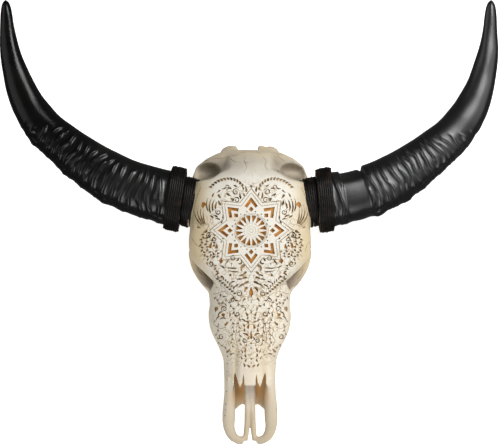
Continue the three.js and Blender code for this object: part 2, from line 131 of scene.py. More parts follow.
def smoothPath(points, step):  # even steps along a soft curve through a few points
    points = np.array(points, float)
    ends = np.vstack([2 * points[0] - points[1], points, 2 * points[-1] - points[-2]])
    t = np.linspace(0, 1, 40, endpoint=False)[:, None]
    spans = []
    for a, b, c, d in zip(ends, ends[1:], ends[2:], ends[3:]):
        curve = 2 * b + (c - a) * t + (2 * a - 5 * b + 4 * c - d) * t**2 + (3 * b - a - 3 * c + d) * t**3
        spans.append(0.5 * curve)
    fine = np.vstack(spans + [points[-1:]])
    along = np.concatenate([[0], np.cumsum(np.linalg.norm(np.diff(fine, axis=0), axis=1))])
    places = np.linspace(0, along[-1], max(2, round(along[-1] / step) + 1))
    return np.stack([np.interp(places, along, fine[:, k]) for k in range(points.shape[1])], 1)


def unit(vectors):
    return vectors / np.linalg.norm(vectors, axis=1)[:, None]


def framesAlong(path):  # direction, sideways and outward at each point of a path
    ahead = unit(np.gradient(path, axis=0))
    out = unit(np.cross([0, 0, 1], ahead))
    return ahead, out, np.cross(ahead, out)


def extruded(bm, outline, height):  # a flat face, and the vertices of its extruded copy to be moved
    face = bm.faces.new([bm.verts.new((u, v, height)) for u, v in outline])
    grown = bmesh.ops.extrude_face_region(bm, geom=[face])["geom"]
    return face, [part for part in grown if isinstance(part, bmesh.types.BMVert)]


def rolledTube(name, shape):  # a grid rolled up into a closed tube, shaped by rings of points
    rings, sides = shape.shape[:2]
    bm = bmesh.new()
    bmesh.ops.create_grid(bm, x_segments=sides, y_segments=rings - 1, size=1)
    for vert in bm.verts:
        column = round((vert.co.x + 1) / 2 * sides) % sides
        row = round((vert.co.y + 1) / 2 * (rings - 1))
        vert.co = shape[row, column]
    bmesh.ops.remove_doubles(bm, verts=bm.verts[:], dist=1e-3)
    bmesh.ops.holes_fill(bm, edges=[e for e in bm.edges if e.is_boundary], sides=0)
    bmesh.ops.recalc_face_normals(bm, faces=bm.faces[:])
    mesh = bpy.data.meshes.new(name)
    bm.to_mesh(mesh)
    bm.free()
    mesh.shade_smooth()
    return mesh


def signedPower(value, power):
    return np.sign(value) * np.abs(value) ** power


# shader maths: a wire is a socket that can be added, multiplied and so on

class Wire:
    def __init__(self, finish, socket):
        self.finish = finish
        self.socket = socket

    def __add__(self, other):
        return self.finish.sums("ADD", self, other)

    def __sub__(self, other):
        return self.finish.sums("SUBTRACT", self, other)

    def __rsub__(self, other):
        return self.finish.sums("SUBTRACT", other, self)

    def __mul__(self, other):
        return self.finish.sums("MULTIPLY", self, other)

    def __abs__(self):
        return self.finish.node("ShaderNodeMath", {"operation": "ABSOLUTE"}, {0: self})

    __radd__ = __add__
    __rmul__ = __mul__


class Finish:
    def __init__(self, name):
        self.material = bpy.data.materials.new(name)
        self.material.use_nodes = True
        self.tree = self.material.node_tree
        self.tree.nodes.clear()

    def node(self, kind, settings, inputs, output=0):
        made = self.tree.nodes.new(kind)
        for key, value in settings.items():
            setattr(made, key, value)
        for key, value in inputs.items():
            if isinstance(value, Wire):
                self.tree.links.new(value.socket, made.inputs[key])
            elif made.inputs[key].type == "RGBA":
                made.inputs[key].default_value = (*value, 1)
            else:
                made.inputs[key].default_value = value
        return None if output is None else Wire(self, made.outputs[output])

    def sums(self, operation, a, b):
        return self.node("ShaderNodeMath", {"operation": operation}, {0: a, 1: b})

    def between(self, value, low, high):  # eased 0 to 1
        settings = {"interpolation_type": "SMOOTHSTEP"}
        return self.node("ShaderNodeMapRange", settings, {"Value": value, "From Min": low, "From Max": high})

    def mix(self, factor, first, second):
        settings = {"data_type": "RGBA", "clamp_factor": True}
        return self.node("ShaderNodeMix", settings, {0: factor, 6: first, 7: second}, 2)

    def share(self, name):
        return self.node("ShaderNodeAttribute", {"attribute_name": name}, {}, 2)

    def place(self):
        return self.node("ShaderNodeTexCoord", {}, {}, 3)

    def stretched(self, where, scale):
        return self.node("ShaderNodeMapping", {}, {"Vector": where, "Scale": scale})

    def axis(self, where, index):
        return self.node("ShaderNodeSeparateXYZ", {}, {"Vector": where}, index)

    def grain(self, where, scale, detail=3.0, rough=0.55):
        inputs = {"Vector": where, "Scale": scale, "Detail": detail, "Roughness": rough}
        return self.node("ShaderNodeTexNoise", {}, inputs)

    def bump(self, height, strength, distance, under=None):
        inputs = {"Height": height, "Strength": strength, "Distance": distance}
        if under is not None:
            inputs["Normal"] = under
        return self.node("ShaderNodeBump", {}, inputs)

    def close(self, inputs):
        shader = self.node("ShaderNodeBsdfPrincipled", {}, inputs)
        self.node("ShaderNodeOutputMaterial", {}, {"Surface": shader}, None)
        return self.material


# materials

boneTint = dict(
    forehead=(0.66, 0.63, 0.555), side=(0.52, 0.42, 0.25), back=(0.46, 0.42, 0.35), rear=(0.49, 0.41, 0.28),
    # the bar tint is painted light on the muzzle's middle bars, which lie in shade
    # the flank tint is painted shade on surfaces that face sideways
    snout=(0.69, 0.62, 0.50), under=(0.50, 0.42, 0.30), flankShade=(0.50, 0.435, 0.32), bar=(0.84, 0.75, 0.63),
    stain=(0.56, 0.46, 0.30), speck=(0.40, 0.32, 0.21), lace=(0.36, 0.26, 0.14), groove=(0.24, 0.165, 0.085),
    # the slit tint is painted shade deep in the cuts
    slit=(0.15, 0.095, 0.045), dusty=(0.44, 0.29, 0.125), amber=(0.45, 0.20, 0.036),
    # the orbit tint is painted shade in the eye sockets
    # the temple tint is painted shade in the hollows behind the forehead's rim
    cavity=(0.62, 0.37, 0.14), enamel=(0.55, 0.47, 0.33), temple=(0.25, 0.205, 0.155), orbitShade=(0.2, 0.15, 0.1),
)
boneReach = dict(  # where a tint fades in across the part, in metres
    middle=0.002, edge=(0.055, 0.1), edgeAlong=(-0.2, -0.06), behind=(0.06, 0.1), rear=(0.098, 0.125),
    snout=(0.08, 0.26), under=(-0.1, -0.03),
)
boneGrain = dict(clouds=9, mottle=38, specks=420, streaks=160, curls=125, dust=60)


def boneFinish():
    f = Finish("driedBone")
    where = f.place()
    x, y, z = f.axis(where, 0), f.axis(where, 1), f.axis(where, 2)
    clouds = f.grain(where, boneGrain["clouds"], 4)
    mottle = f.grain(where, boneGrain["mottle"], 5, 0.62)
    specks = f.grain(where, boneGrain["specks"], 2)
    streaks = f.grain(f.stretched(where, (1, 0.16, 0.5)), boneGrain["streaks"], 4)
    patchy = clouds - 0.5
    edge = f.between(abs(x - boneReach["middle"]) + patchy * 0.05, *boneReach["edge"])
    edge = edge * f.between(y, *boneReach["edgeAlong"])
    behind = f.between(y + patchy * 0.04, *boneReach["behind"])
    rear = f.between(y + (mottle - 0.5) * 0.02, *boneReach["rear"])
    snout = f.between(-1 * y + patchy * 0.08, *boneReach["snout"])
    under = f.between(-1 * z + patchy * 0.05, *boneReach["under"])
    colour = f.mix(edge, boneTint["forehead"], boneTint["side"])
    colour = f.mix(behind, colour, boneTint["back"])
    colour = f.mix(rear, colour, boneTint["rear"])
    colour = f.mix(snout, colour, boneTint["snout"])
    colour = f.mix(under, colour, boneTint["under"])
    # painted shade: darker where the surface faces sideways
    colour = f.mix(f.share("flankShade") * 0.55, colour, boneTint["flankShade"])
    # painted light: the muzzle's middle bars, shaded by the nasal bones, are made paler
    colour = f.mix(f.share("bar"), colour, boneTint["bar"])
    colour = f.mix(f.between(mottle, 0.5, 0.75) * 0.5, colour, boneTint["stain"])
    colour = f.mix(f.between(streaks, 0.55, 0.78) * 0.35, colour, boneTint["stain"])
    colour = f.mix(f.between(specks, 0.66, 0.76) * 0.4, colour, boneTint["speck"])
    curls = f.grain(where, boneGrain["curls"], 1, 0.3)
    thread = 1 - f.between(abs(curls - 0.5), 0.012, 0.055)  # thin curling lines between the slits
    lace = thread * f.share("lace")
    colour = f.mix(lace * 0.75, colour, boneTint["lace"])
    # painted shade in the furrow between nose and cheek, in the side tint
    colour = f.mix(f.share("furrowShade") * 0.5, colour, boneTint["side"])
    colour = f.mix(f.share("tooth") * (0.6 + streaks * 0.6), colour, boneTint["enamel"])
    hollow = f.share("hollow")  # depth of a cut in millimetres
    colour = f.mix(f.between(hollow, 0.15, 0.9) * 0.75, colour, boneTint["groove"])
    dusty = f.between(f.grain(where, boneGrain["dust"], 2), 0.33, 0.55)
    slit = f.mix(dusty + snout * 0.5, boneTint["slit"], boneTint["dusty"])
    cut = f.mix(f.share("amber"), slit, boneTint["amber"])
    # painted shade: past its rim a cut darkens with depth to brown, and to amber in the larger cuts
    colour = f.mix(f.between(hollow, 0.8, 2.6), colour, cut)
    colour = f.mix(f.share("cavity"), colour, boneTint["cavity"])
    # painted shade in the hollows behind the forehead's rim, patchy with the mottle
    colour = f.mix(f.share("temple") * (0.7 + (mottle - 0.5) * 1.2), colour, boneTint["temple"])
    # painted shade in the eye sockets
    colour = f.mix(f.share("orbitShade"), colour, boneTint["orbitShade"])
    ground = f.bump(streaks - lace * 0.8, 0.2, 0.001)
    pores = f.bump(specks, 0.12, 0.0006, ground)
    return f.close({
        "Base Color": colour, "Roughness": 0.5 + mottle * 0.2, "Normal": pores, "Specular IOR Level": 0.35,
    })


hornTint = dict(
    black=(0.003, 0.003, 0.003), brown=(0.007, 0.0065, 0.006), polished=0.14, worn=0.34, specular=0.24,
    wear=(-0.1, 0.1), shine=(-0.36, -0.18),  # the right horn is worn, the left one shines near its root
    coatRough=0.34,
)
hornGrain = dict(clouds=22, fine=420, scratches=500)


def hornFinish():
    f = Finish("blackHorn")
    where = f.place()
    x = f.axis(where, 0)
    clouds = f.grain(where, hornGrain["clouds"], 4)
    fine = f.grain(where, hornGrain["fine"], 3)
    scratches = f.grain(f.stretched(where, (1, 0.3, 1)), hornGrain["scratches"], 2)
    colour = f.mix(f.between(clouds, 0.45, 0.75), hornTint["black"], hornTint["brown"])
    wear = f.between(x, *hornTint["wear"])
    lustre = f.sums("MAXIMUM", wear, f.between(x, *hornTint["shine"]) * 0.6)
    roughness = hornTint["polished"] + wear * (hornTint["worn"] - hornTint["polished"])
    ground = f.bump(fine, 0.3, 0.0012)
    lines = f.bump(scratches, 0.08, 0.0006, ground)
    return f.close({
        "Base Color": colour, "Roughness": roughness + (clouds - 0.5) * 0.16, "Normal": lines,
        "Specular IOR Level": hornTint["specular"], "Coat Weight": lustre,
        "Coat Roughness": hornTint["coatRough"],
    })


cordTint = dict(black=(0.004, 0.0035, 0.003), brown=(0.02, 0.011, 0.007), specular=0.18)
cordGrain = dict(fibre=900, clouds=60)


def cordFinish():
    f = Finish("waxedCord")
    where = f.place()
    fibre = f.grain(where, cordGrain["fibre"], 3)
    clouds = f.grain(where, cordGrain["clouds"], 3)
    colour = f.mix(f.between(clouds, 0.5, 0.8), cordTint["black"], cordTint["brown"])
    return f.close({
        "Base Color": colour, "Roughness": 0.3 + fibre * 0.25, "Normal": f.bump(fibre, 0.3, 0.0006),
        "Specular IOR Level": cordTint["specular"],
    })


bone = boneFinish()
horn = hornFinish()
cord = cordFinish()
print("materials made")


# bone

skull = dict(
    nodes=["frontal", "occipital", "skull_base", "nasal_left", "nasal_right", "maxilla_left", "maxilla_right",
           "premaxilla_left", "premaxilla_right", "zygomatic_left", "zygomatic_right"],
    seamGrow=0.3,  # closes the gaps between the bones
    merge=0.002,
    voxel=2.2,
    broadRounds=9, thinRounds=2,  # rounds of smoothing, fewer on the teeth and on the muzzle's bars
    thinBelow=150, teethUnder=-104,
    waves=((55, 0.7), (18, 0.28)),  # length and height of the surface's waves
    kept=0.5,  # share of the faces left before the carving
    crumb=200,  # loose islands with fewer vertices go
    sharp=math.radians(38),
)
carving = dict(centre=(2, 377), plugReach=82, lift=3, swell=1.2, stemGap=1.6, cutters=3, above=200,
               tightBend=130, tightSteps=12)  # a slit that bends this far has more points
temples = dict(
    rim=460, slope=0.42, outer=88, inner=(32, 45), root=(84, 96), sharp=5, fade=(14, 40), depth=9,
    above=-75, facing=0.1,  # only the surface that faces forward sinks
)
flare = dict(across=(60, 90), start=(454, 468), end=(488, 510), reach=5)  # the head's width behind the horns
crest = dict(along=516, drop=11, reach=70, fade=15, wide=4, height=2.4)
furrows = dict(across=25, wide=5, start=(112, 126), end=(165, 205), depth=3.2)
fillings = [  # outline, low and high: the nose floor's slanting front edges, then the condyles' inner corners
    ([(31, 56), (9, 76), (9, 84), (33, 84)], -73, -63),
    ([(-31, 56), (-33, 84), (-9, 84), (-9, 76)], -73, -63),
    ([(-56, 503), (-50, 518), (-41, 523), (-31, 526), (-24, 527), (-24, 503)], -135, -92),
    ([(14, 503), (14, 528), (24, 527), (34, 524), (44, 518), (53, 508), (54, 503)], -135, -92),
]


def templeDepth(u, v):  # 0 to 1 in the hollows behind the forehead's rim
    behind = v - temples["rim"] - (temples["outer"] - np.abs(u)) * temples["slope"]
    across = ramp(np.abs(u), *temples["inner"]) * (1 - ramp(np.abs(u), *temples["root"]))
    return ramp(behind, 0, temples["sharp"]) * (1 - ramp(behind, *temples["fade"])) * across


def crestHeight(u, v):  # 0 to 1 along the ridge at the back of the head
    middle = crest["along"] - crest["drop"] * (u / crest["reach"]) ** 2
    ends = 1 - ramp(np.abs(u), crest["reach"], crest["reach"] + crest["fade"])
    return np.exp(-(((v - middle) / crest["wide"]) ** 2)) * ends


def furrowDepth(u, v):  # 0 to 1 along the seam between nose and cheek
    near = np.exp(-(((np.abs(u) - furrows["across"]) / furrows["wide"]) ** 2))
    return near * ramp(v, *furrows["start"]) * (1 - ramp(v, *furrows["end"]))


def pour(source, target):  # moves all of one bmesh into another
    scratch = bpy.data.meshes.new("scratch")
    source.to_mesh(scratch)
    source.free()
    target.from_mesh(scratch)
    bpy.data.meshes.remove(scratch)


def starPlug(single):  # fills the solid's star pockets, which are cut again finely below
    plug = bmesh.new()
    for vert in single.verts:
        reach = math.hypot(vert.co.x, vert.co.y - carving["centre"][1])
        if vert.co.z > 0 and reach < carving["plugReach"]:
            plug.verts.new(vert.co)
    hull = bmesh.ops.convex_hull(plug, input=plug.verts[:])
    bmesh.ops.delete(plug, geom=hull["geom_interior"], context="VERTS")
    return plug


def gatherBones():
    gathered = bmesh.new()
    toFace = faceToPart.inverted()
    for name in skull["nodes"]:
        single = bmesh.new()
        single.from_mesh(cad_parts[name].data)
        single.transform(toFace)
        bmesh.ops.remove_doubles(single, verts=single.verts[:], dist=skull["merge"])
        if name == "frontal":
            pour(starPlug(single), gathered)
        single.normal_update()
        for vert in single.verts:
            vert.co += vert.normal * skull["seamGrow"]
        pour(single, gathered)
    for outline, low, high in fillings:
        face, lid = extruded(gathered, outline, low)
        bmesh.ops.translate(gathered, verts=lid, vec=(0, 0, high - low))
        shell = {face} | {f for v in lid for f in v.link_faces}
        bmesh.ops.recalc_face_normals(gathered, faces=list(shell))
    return gathered


def fuseBones():
    holder = scratchObject(gatherBones(), "gatheredBones")
    remesh = holder.modifiers.new("fuse", "REMESH")
    remesh.mode = "VOXEL"
    remesh.voxel_size = skull["voxel"]
    fused = baked(holder)
    dropObject(holder)
    bm = bmesh.new()
    bm.from_mesh(fused)
    bpy.data.meshes.remove(fused)
    thick = [v for v in bm.verts if v.co.y > skull["thinBelow"] and v.co.z > skull["teethUnder"]]
    for group, rounds in ((thick, skull["broadRounds"]), (bm.verts[:], skull["thinRounds"])):
        for turn in range(rounds):
            bmesh.ops.smooth_vert(bm, verts=group, factor=0.5,
                                  use_axis_x=True, use_axis_y=True, use_axis_z=True)
    bm.normal_update()
    spots = np.array([v.co for v in bm.verts])
    across, along = spots[:, 0], spots[:, 1]
    drops = temples["depth"] * templeDepth(across, along) + furrows["depth"] * furrowDepth(across, along)
    drops -= crest["height"] * crestHeight(across, along)
    widths = flare["reach"] * ramp(np.abs(across), *flare["across"]) * np.sign(across)
    widths *= ramp(along, *flare["start"]) * (1 - ramp(along, *flare["end"]))
    for vert, drop, width in zip(bm.verts, drops.tolist(), widths.tolist()):
        height = sum(size * noise.noise(vert.co / length) for length, size in skull["waves"])
        vert.co += vert.normal * height
        if vert.co.z > temples["above"] and vert.normal.z > temples["facing"]:
            vert.co.z -= drop
        vert.co.x += width
    holder = scratchObject(bm, "fusedBones")
    thin = holder.modifiers.new("thin", "DECIMATE")
    thin.ratio = skull["kept"]
    mesh = baked(holder)
    dropObject(holder)
    return mesh


def treeOf(mesh):
    return BVHTree.FromPolygons([v.co for v in mesh.vertices], [p.vertices[:] for p in mesh.polygons])


whole = fuseBones()
print("bones fused:", len(whole.polygons), "faces")
boneTree = treeOf(whole)


def faceHeight(u, v):
    hit = boneTree.ray_cast(Vector((u, v, carving["above"])), Vector((0, 0, -1)))[0]
    return hit.z if hit else 0


# carving: slits are outlines pushed into the bone, engraved lines are thin tubes along its surface

class Carving:
    def __init__(self):
        self.groups = {}

    def slot(self, outline, depth, group, both):
        sides = [outline]
        if both:
            sides.append([(-u, v) for u, v in reversed(outline)])
        for side in sides:
            self.groups.setdefault(group, []).append((side, depth))


def leaf(at, heading, length, width, bend=0, fullness=0.6, steps=7):  # a comma, drop or crescent
    spine = [np.array((0.0, 0.0))]
    stops = []
    for k in range(steps + 1):
        turn = math.radians(heading + bend * (k / steps - 0.5))
        stops.append((k / steps, turn))
        if k < steps:
            spine.append(spine[-1] + length / steps * np.array((math.cos(turn), math.sin(turn))))
    middle = np.mean(spine, axis=0)
    left, right = [], []
    for point, (share, turn) in zip(spine, stops):
        reach = width / 2 * math.sin(math.pi * share**fullness)
        across = np.array((-math.sin(turn), math.cos(turn)))
        left.append(point - middle + across * reach + at)
        right.append(point - middle - across * reach + at)
    return [tuple(p) for p in left[:-1]] + [tuple(p) for p in reversed(right[1:])]


def spiral(at, radius, start, turn, width=2.3, windIn=0.72, thinning=0.55, steps=20):  # a scroll
    outer, inner = [], []
    for k in range(steps + 1):
        share = k / steps
        angle = math.radians(start + turn * share)
        reach = radius * (1 - windIn * share)
        half = width / 2 * min(1, 4 * share) * (1 - thinning * share) if k < steps else 0
        way = np.array((math.cos(angle), math.sin(angle)))
        outer.append(tuple(at + way * (reach + half)))
        inner.append(tuple(at + way * (reach - half)))
    return outer + inner[-2:0:-1]


def dot(at, radius, sides=8):
    turns = [2 * math.pi * k / sides for k in range(sides)]
    return [(at[0] + radius * math.cos(t), at[1] + radius * math.sin(t)) for t in turns]


def lozenge(at, length, width, heading=90):
    turn = math.radians(heading)
    ahead = np.array((math.cos(turn), math.sin(turn)))
    across = np.array((-ahead[1], ahead[0]))
    corners = (ahead * length, across * width, -ahead * length, -across * width)
    return [tuple(np.array(at) + c / 2) for c in corners]


def turned(outline, angle):
    c, s = math.cos(angle), math.sin(angle)
    return [(u * c - v * s, u * s + v * c) for u, v in outline]


star = dict(points=8, tip=58, arm=19.5, bar=5.4, spread=math.radians(37), lozengeAt=37, lozenge=(9.5, 8.5),
            rays=16, rayOut=26.2, rayIn=13.6, rayWidth=8.2, rayCurve=0.6, dots=(33, 1.25), dotSpread=0.17,
            dotDip=3.6, depth=4.2, sideLozenge=((-52.5, -53), 11, 7.5))


def carveStar(work):
    for k in range(star["points"]):
        angle = math.pi / 2 + 2 * math.pi * k / star["points"]
        c, s = math.cos(star["spread"]), math.sin(star["spread"])
        inset = star["bar"] / s
        outer, inner = [], []
        for side in (1, -1):
            end = (star["tip"] - star["arm"] * c, side * star["arm"] * s)
            outer.append(end)
            inner.append((end[0] - star["bar"] * s, end[1] - side * star["bar"] * c))
        chevron = [outer[0], inner[0], (star["tip"] - inset, 0), inner[1], outer[1], (star["tip"], 0)]
        work.slot(turned(chevron, angle), star["depth"], "amber", False)
        filling = lozenge((star["lozengeAt"], 0), *star["lozenge"], 0)
        work.slot(turned(filling, angle), star["depth"], "amber", False)
        between = angle + math.pi / star["points"]
        reach, size = star["dots"]
        for side in (-1, 0, 1):
            place = (reach - (0 if side else star["dotDip"]), side * reach * star["dotSpread"])
            work.slot(turned(dot(place, size, 6), between), star["depth"], "amber", False)
    for k in range(star["rays"]):
        angle = math.pi / 2 + 2 * math.pi * (k + 0.5) / star["rays"]
        half = star["rayWidth"] / 2
        corner = star["rayOut"] - star["rayCurve"]
        ray = [(star["rayIn"], 0), (corner, -half), (star["rayOut"], 0), (corner, half)]
        work.slot(turned(ray, angle), star["depth"], "amber", False)


# The left half's slits, from the star's middle: across, along, heading, length, width and bend in degrees
foreheadSlits = dict(
    depth=3.4,
    rows=[
        (-9, 72, 100, 12, 2.8, 25), (-14.5, 74, 112, 9, 2.4, 40),
        (-19, 61, 95, 14, 3.0, -40), (-13, 63, 110, 8, 2.2, 30),
        (-33, 54, 150, 8, 4.6, 0), (-39, 62, -20, 10, 2.8, 40),
        (-55, 59, -55, 10, 3.6, 30), (-55, 48, 110, 11, 3.8, -40),
        (-49, 24, 85, 8, 2.4, 20), (-51, 15, 60, 7, 2.2, 30),
        (-80, -2, 200, 10, 3.8, -50), (-91, 5, -25, 7, 2, 10),
        (-61, 44, 74, 15, 2.8, -40), (-66, 44, 78, 24, 2.6, -55),
        (-71, 43, 82, 30, 2.4, -60), (-76, 45, 86, 27, 2.2, -60),
        (-62, 25, 160, 10, 2.8, 60), (-69, 24, 150, 9, 2.6, 60),
        (-58, 20, 172, 9, 2.4, 50), (-66, 62, 60, 10, 2.4, -40),
        (-38, 74, 160, 9, 2.4, -70), (-28, 78, 150, 8, 2.4, -60),
        (-48, 73, 190, 9, 2.2, -70), (-57, 68, 215, 9, 2.2, -60),
        (-94, 22, 114, 34, 2.0, -50), (-90, 24, 108, 33, 2.0, -42),
        (-86, 24, 102, 31, 2.0, -34), (-82, 22, 97, 26, 2.0, -26),
        (-23, -50, 60, 8, 2.6, 60), (-41, -53, 60, 10, 2.4, 30), (-18.5, -55, 70, 13, 2.8, 210),
        (-15, -65, 250, 16, 4.4, 130), (-11.5, -75, 235, 11, 3.6, 60), (-36, -65, 175, 25, 2.2, -25),
        (-32, -71, 172, 20, 1.9, -25), (-50, -63, 150, 10, 2.2, 40),
        (-18, -78, 200, 9, 2.6, 40), (-12, -83, 205, 12, 3.4, 70),
        (-9.5, -91.5, 215, 13, 3.8, 60), (-21, -85, 195, 10, 2.2, 40), (-9.5, -102.5, 245, 12, 3.8, 40),
        (-18, -96, 225, 13, 2.4, 40), (-27, -97, 220, 13, 2.0, 35), (-33, -90, 205, 11, 2.0, 40),
    ],
    amber=[
        (-70, -25, 70, 13, 4.0, -40), (-60, -27, 90, 9, 3.6, 30), (-83, 44, 250, 11, 6.4, 10),
        (-51, -80, 90, 5, 4.6, 0), (-58, -74, 90, 4.6, 4.2, 0),
        (-36, -77, 90, 4.4, 3.6, 0), (-66, -40, 110, 7, 3, 30),
    ],
)
noseSlits = dict(
    depth=3,
    rows=[
        (-13, -121, 230, 9, 3.0, 20), (-37, -146, 90, 10, 2.2, 30),
        (-55, -147, 250, 19, 2.2, 120), (-50, -154, 200, 15, 2.2, 90), (-59, -154, 240, 15, 1.9, 80),
        (-43, -162, 50, 11, 3.4, 20), (-8, -145.5, 120, 9, 3.4, 40), (-6, -152, 60, 6, 2.4, 40),
        (-14, -156, 160, 10, 2.4, 80), (-7.5, -159, 165, 9, 2.8, 70),
        (-13, -165, 120, 8, 2.8, 80), (-12, -173, 100, 8, 2.8, 80),
        (-10, -181, 165, 12, 3.0, 90), (-10, -208, 75, 10, 2.8, 20), (-10, -217.5, 100, 8, 2.8, -20),
        (-9.5, -226, 70, 7, 2.6, 20), (-16, -210, 110, 9, 2.0, 30),
        (-12, -234, 110, 8, 2.8, 20), (-5, -236, 140, 8, 2.8, 20),
        (-17, -222, 120, 7, 2.0, 20), (-40, -210, 50, 10, 3.4, 20), (-33, -215, 20, 9, 2.2, 30),
    ],
    amber=[(-48, -147, 40, 7, 5.4, 0), (-61, -138, 250, 10, 5.4, 20), (-5, -167, 75, 10, 3.6, -30)],
)
spineSlits = [  # on the middle line: place, heading, length, width and group
    ((0, -106), 90, 17, 7.5, "amber"), ((0, 77), 90, 6, 4.5, "deep"), ((0, -140), 90, 8, 2, "deep"),
    ((0, -182), 90, 16, 4.2, "amber"), ((-4.6, -187), 62, 9, 2.4, "deep"), ((4.6, -187), 118, 9, 2.4, "deep"),
    ((0, -124), 90, 5, 2, "deep"), ((0, -115), 90, 4, 2.4, "deep"),
]
smallDots = dict(  # across, along and radius
    depth=2.6,
    pairs=[(-8, -200, 1.6), (-21, -212, 1.2), (-24, -217, 1.2), (-64, -159, 1.3), (-57, -164, 1.3),
           (-41, -220, 1.4), (-42, -233, 1.2), (-42, -247, 1.2), (-42, -261, 1.1), (-43, -282, 1.3),
           (-45, -305, 1.3), (-45, -315, 1.2), (-46, -325, 1.2), (-52, -36, 1.5), (-49, -14, 1.5),
           (-52, -20, 1.4), (-44, 50, 1.3), (-34, -58, 1.4), (-44, -58, 1.3)],
    middle=[(0, -197, 1.6), (0, -205, 1.5), (0, -224, 1.5), (0, -231, 1.3)],
)
muzzleSlots = [  # across, along from the muzzle tip, heading, length, width, depth, and whether mirrored
    (-11.5, 112, 90, 30, 3.6, 22, True),  # clefts in the nasal bones' free edge
    (-24.5, 112, 97, 34, 7, 28, True),
    (0, 62, 90, 84, 1.3, 2.2, False),  # the seam between the palate's bars
]
scrolls = [  # across, along, radius, first angle and turn in degrees
    (-27, 67, 6, 20, 480), (-25, 53, 5.4, 200, -470), (-73, -9, 5.2, 60, 460), (-64, -16, 4.6, 240, -440),
    (-31, -48, 5.4, 30, 470), (-21, -110, 5.6, 120, -470), (-70, -58, 5, 200, 460),
    (-10.5, -192, 4.6, 60, 460), (-47, -137, 5.6, 250, -470), (-57, 32, 5.2, 90, 470),
    (-32, -122, 4.8, 300, 450), (-52, -186, 5, 40, 460), (-24, -145, 4.4, 150, 450), (-42, 76, 4.6, 200, 450),
]
commaRows = [  # rows of commas along a route; those that alternate lean to both sides like leaves on a stem
    dict(route=[(-16, 79), (-24, 86), (-37, 90), (-51, 88), (-62, 83), (-71, 75)], step=5.8,
         length=7.2, width=3.6, lean=40, bend=115, depth=3.2, alternate=False),
    dict(route=[(-83, -8), (-87, -22), (-84, -36), (-74, -50)], step=4.8,
         length=6.4, width=2.5, lean=55, bend=70, depth=3.2, alternate=True),
    dict(route=[(-72, -5), (-78, -18), (-76, -32), (-66, -47)], step=5.2,
         length=6.4, width=2.6, lean=60, bend=80, depth=3.2, alternate=True),
    dict(route=[(-63, -9), (-67, -16), (-60, -36), (-57, -45)], step=5.2,
         length=5.6, width=2.3, lean=60, bend=80, depth=3.2, alternate=True),
    dict(route=[(-76, -56), (-66, -58), (-62, -66), (-58, -82)], step=5.4,
         length=6.4, width=2.2, lean=60, bend=90, depth=2.8, alternate=True),
    dict(route=[(-58, -84), (-48, -92), (-38, -101), (-28, -109)], step=5.6,
         length=6.6, width=3.2, lean=-55, bend=50, depth=3.2, alternate=False),
    dict(route=[(-48, -84), (-40, -91), (-30, -101)], step=5.2,
         length=5.4, width=2.2, lean=50, bend=50, depth=2.8, alternate=False),
    dict(route=[(-30, -117), (-22, -128), (-9, -136)], step=6.5,
         length=7, width=2.1, lean=50, bend=40, depth=2.8, alternate=True),
    dict(route=[(-52, -112), (-42, -122), (-32, -136), (-28, -150)], step=6.6,
         length=6.8, width=2.0, lean=52, bend=50, depth=2.8, alternate=True),
    dict(route=[(-62, -118), (-56, -126), (-44, -128)], step=6,
         length=6.5, width=2.0, lean=50, bend=60, depth=2.8, alternate=True),
    dict(route=[(-57, -168), (-60, -184), (-54, -200), (-44, -204)], step=7,
         length=6.2, width=1.8, lean=45, bend=50, depth=2.4, alternate=True),
    dict(route=[(-34, -156), (-31, -172), (-34, -190), (-33, -203)], step=7,
         length=6.2, width=1.8, lean=40, bend=50, depth=2.4, alternate=True),
    dict(route=[(-20, -148), (-22, -164), (-20, -184), (-19.5, -199)], step=7,
         length=6.2, width=1.9, lean=40, bend=40, depth=2.4, alternate=True),
]
edgeBeads = dict(route=[(-88, 74), (-96, 54), (-101, 28), (-101, 2)], step=3.4, size=1.05, depth=1.2)


def carveRow(work, row):
    path = smoothPath(row["route"], row["step"])
    along = np.gradient(path, axis=0)
    for k, (spot, way) in enumerate(zip(path, along)):
        turn = -1 if row["alternate"] and k % 2 else 1
        gap = carving["stemGap"] * turn if row["alternate"] else 0
        aside = np.array((way[1], -way[0])) / np.linalg.norm(way) * gap
        heading = math.degrees(math.atan2(way[1], way[0])) - turn * row["lean"]
        wide = row["width"] * carving["swell"]
        outline = leaf(spot + aside, heading, row["length"], wide, turn * row["bend"])
        work.slot(outline, row["depth"], "deep", True)


def carveSlits(work):
    for sheet in (foreheadSlits, noseSlits):
        for group, rows in (("deep", sheet["rows"]), ("amber", sheet["amber"])):
            for u, v, heading, length, width, bend in rows:
                steps = 7 if abs(bend) < carving["tightBend"] else carving["tightSteps"]
                wide = width * carving["swell"]
                work.slot(leaf((u, v), heading, length, wide, bend, steps=steps), sheet["depth"], group, True)
    work.slot(lozenge(*star["sideLozenge"]), star["depth"], "amber", True)
    for u, v, heading, length, width, depth, both in muzzleSlots:
        middle = (u - carving["centre"][0], v - carving["centre"][1])
        work.slot(leaf(middle, heading, length, width, 0, 1), depth, "muzzle", False)
        if both:
            mirror = (-u - carving["centre"][0], middle[1])
            work.slot(leaf(mirror, 180 - heading, length, width, 0, 1), depth, "muzzle", False)
    for u, v, size, start, turn in scrolls:
        work.slot(spiral((u, v), size, start, turn), foreheadSlits["depth"], "scroll", True)
    for at, heading, length, width, group in spineSlits:
        work.slot(leaf(at, heading, length, width), foreheadSlits["depth"], group, False)
    for u, v, radius in smallDots["pairs"]:
        work.slot(dot((u, v), radius, 6), smallDots["depth"], "deep", True)
    for u, v, radius in smallDots["middle"]:
        work.slot(dot((u, v), radius, 6), smallDots["depth"], "deep", False)
    for row in commaRows:
        carveRow(work, row)
    for spot in smoothPath(edgeBeads["route"], edgeBeads["step"]):
        work.slot(dot(spot, edgeBeads["size"], 6), edgeBeads["depth"], "bead", True)


